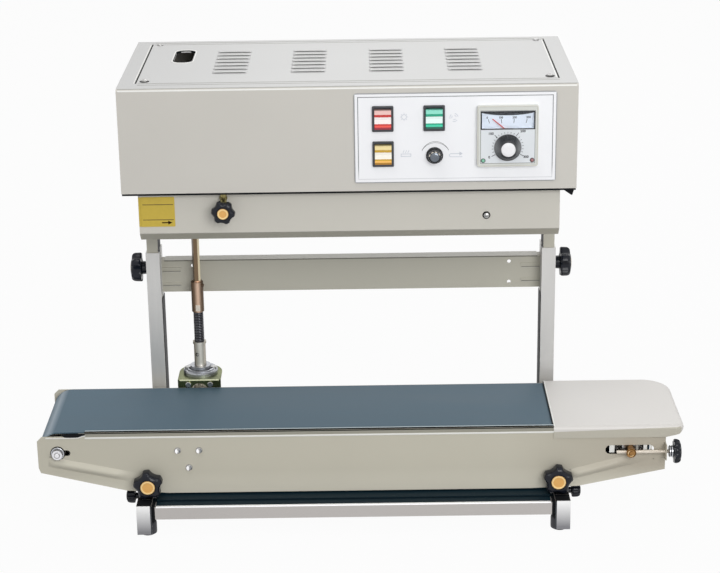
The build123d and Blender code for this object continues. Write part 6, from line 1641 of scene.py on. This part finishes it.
# A pale rim of painted highlight round the hole's lining.
hole_highlight = moved(frame_band(hole_outline(4.2, 15.0, 2.0), edge, -0.2, 0.5), *HAND_HOLE, roof)
piece("hand_hole_highlight", hole_highlight, PAINT_HIGHLIGHT, "head", "paint_grey")
wedge_low, wedge_high = mm_box("guide_wedge")
left, right, ceiling = wedge_low[0], wedge_high[0], wedge_high[2]
guide = [(left - 0.5, ceiling - 0.2), (right - 0.4, ceiling), (right - 3.4, ceiling - 9.6),
         (right - 5.2, ceiling - 8.8)]
guide = slab(guide, -wedge_high[1], -wedge_low[1])
front_piece("bag_guide", guide, 0, RUBBER_AND_SHADE, "head", "rubber_black", ["guide_wedge"])
print("hand hole and bag guide")


# %% [markdown]
# ## Floor, backdrop and light
#
# The floor and the world are white to the camera and to reflections, through Light Path, so
# that the light on the object can stay at a level where its colours read as written.

# %% Floor
FLOOR_HALF = 20.0
FLOOR_GLOW = 0.96
FLOOR_GREY = (0.45, 0.45, 0.45, 1)


def white_to_the_camera(tree):
    """One for camera, glossy and transmission rays, and zero for the rest."""
    path = tree.nodes.new("ShaderNodeLightPath")
    camera, glossy, through = (Signal(tree, path.outputs[f"Is {kind} Ray"])
                               for kind in ("Camera", "Glossy", "Transmission"))
    return camera.most(glossy).most(through)


def floor_finish():
    """White where nothing shades it, with part of its diffuse light kept for soft shadows."""
    material = bpy.data.materials.new("studio_floor")
    material.use_nodes = True
    tree = material.node_tree
    tree.nodes.clear()
    kinds = ("OutputMaterial", "BsdfDiffuse", "Emission", "MixShader", "MixShader")
    output, plain, glow, seen, both = (tree.nodes.new("ShaderNode" + kind) for kind in kinds)
    plain.inputs["Color"].default_value = FLOOR_GREY
    seen.inputs[0].default_value = FLOOR_GLOW
    tree.links.new(white_to_the_camera(tree).socket, both.inputs[0])
    for mixed, first, second in ((seen, plain, glow), (both, plain, seen)):
        tree.links.new(first.outputs[0], mixed.inputs[1])
        tree.links.new(second.outputs[0], mixed.inputs[2])
    tree.links.new(both.outputs[0], output.inputs[0])
    return material


floor_corners = [(x * FLOOR_HALF, y * FLOOR_HALF, 0) for x, y in ((-1, -1), (1, -1), (1, 1), (-1, 1))]
floor_mesh = bpy.data.meshes.new("studio_floor")
floor_mesh.from_pydata(floor_corners, [], [(0, 1, 2, 3)])
floor_mesh.materials.append(floor_finish())
floor = bpy.data.objects.new("studio_floor", floor_mesh)
bpy.context.scene.collection.objects.link(floor)
print("floor of", 2 * FLOOR_HALF, "metres")


# %% World and lamps
WORLD_LIGHT = 0.55
MIDDLE = (np.array(CAD_BOX[0]) + np.array(CAD_BOX[1])) / 2
SOFTBOXES = {  # place, size, watts
    "overhead_softbox": ((-0.3, -0.5, 2.4), 0.8, 8),
    "front_softbox": ((0.9, -2.6, 1.5), 1.6, 42),
    "back_softbox": ((0.4, 2.2, 1.8), 1.6, 12),
}
world = bpy.data.worlds.new("studio_world")
world.use_nodes = True
bpy.context.scene.world = world
background = world.node_tree.nodes["Background"]
background.inputs["Color"].default_value = (1, 1, 1, 1)
level = white_to_the_camera(world.node_tree) * (1 - WORLD_LIGHT) + WORLD_LIGHT
world.node_tree.links.new(level.socket, background.inputs["Strength"])
for name, (place, size, watts) in SOFTBOXES.items():
    light = bpy.data.lights.new(name, "AREA")
    light.shape = "SQUARE"
    light.size = size
    light.energy = watts
    lamp = bpy.data.objects.new(name, light)
    bpy.context.scene.collection.objects.link(lamp)
    lamp.location = place
    lamp.rotation_euler = (Vector(MIDDLE) - Vector(place)).to_track_quat("-Z", "Y").to_euler()
print("world and", len(SOFTBOXES), "softboxes that face the machine's middle")


# %% [markdown]
# ## Camera
#
# The camera stands a little above the machine, well back with a long lens, and tips down. Its
# roll is a fraction of a degree.

# %% Camera
CAMERA_PLACE = (0.01157, -2.42827, 1.1180)
CAMERA_PITCH = 0.338
CAMERA_YAW = -0.004
CAMERA_ROLL = -0.015
LENS = 98.55

camera_data = bpy.data.cameras.new("camera")
camera_data.lens = LENS
camera_data.sensor_width = 36
camera_data.clip_end = 60
camera = bpy.data.objects.new("camera", camera_data)
bpy.context.scene.collection.objects.link(camera)
camera.location = CAMERA_PLACE
turn = Euler((0, 0, -CAMERA_YAW)).to_matrix() @ Euler((pi / 2 - CAMERA_PITCH, 0, 0)).to_matrix()
turn = turn @ Euler((0, 0, CAMERA_ROLL)).to_matrix()
camera.rotation_euler = turn.to_euler()
bpy.context.scene.camera = camera
bpy.context.scene.view_settings.view_transform = "Standard"
print("camera at", CAMERA_PLACE)
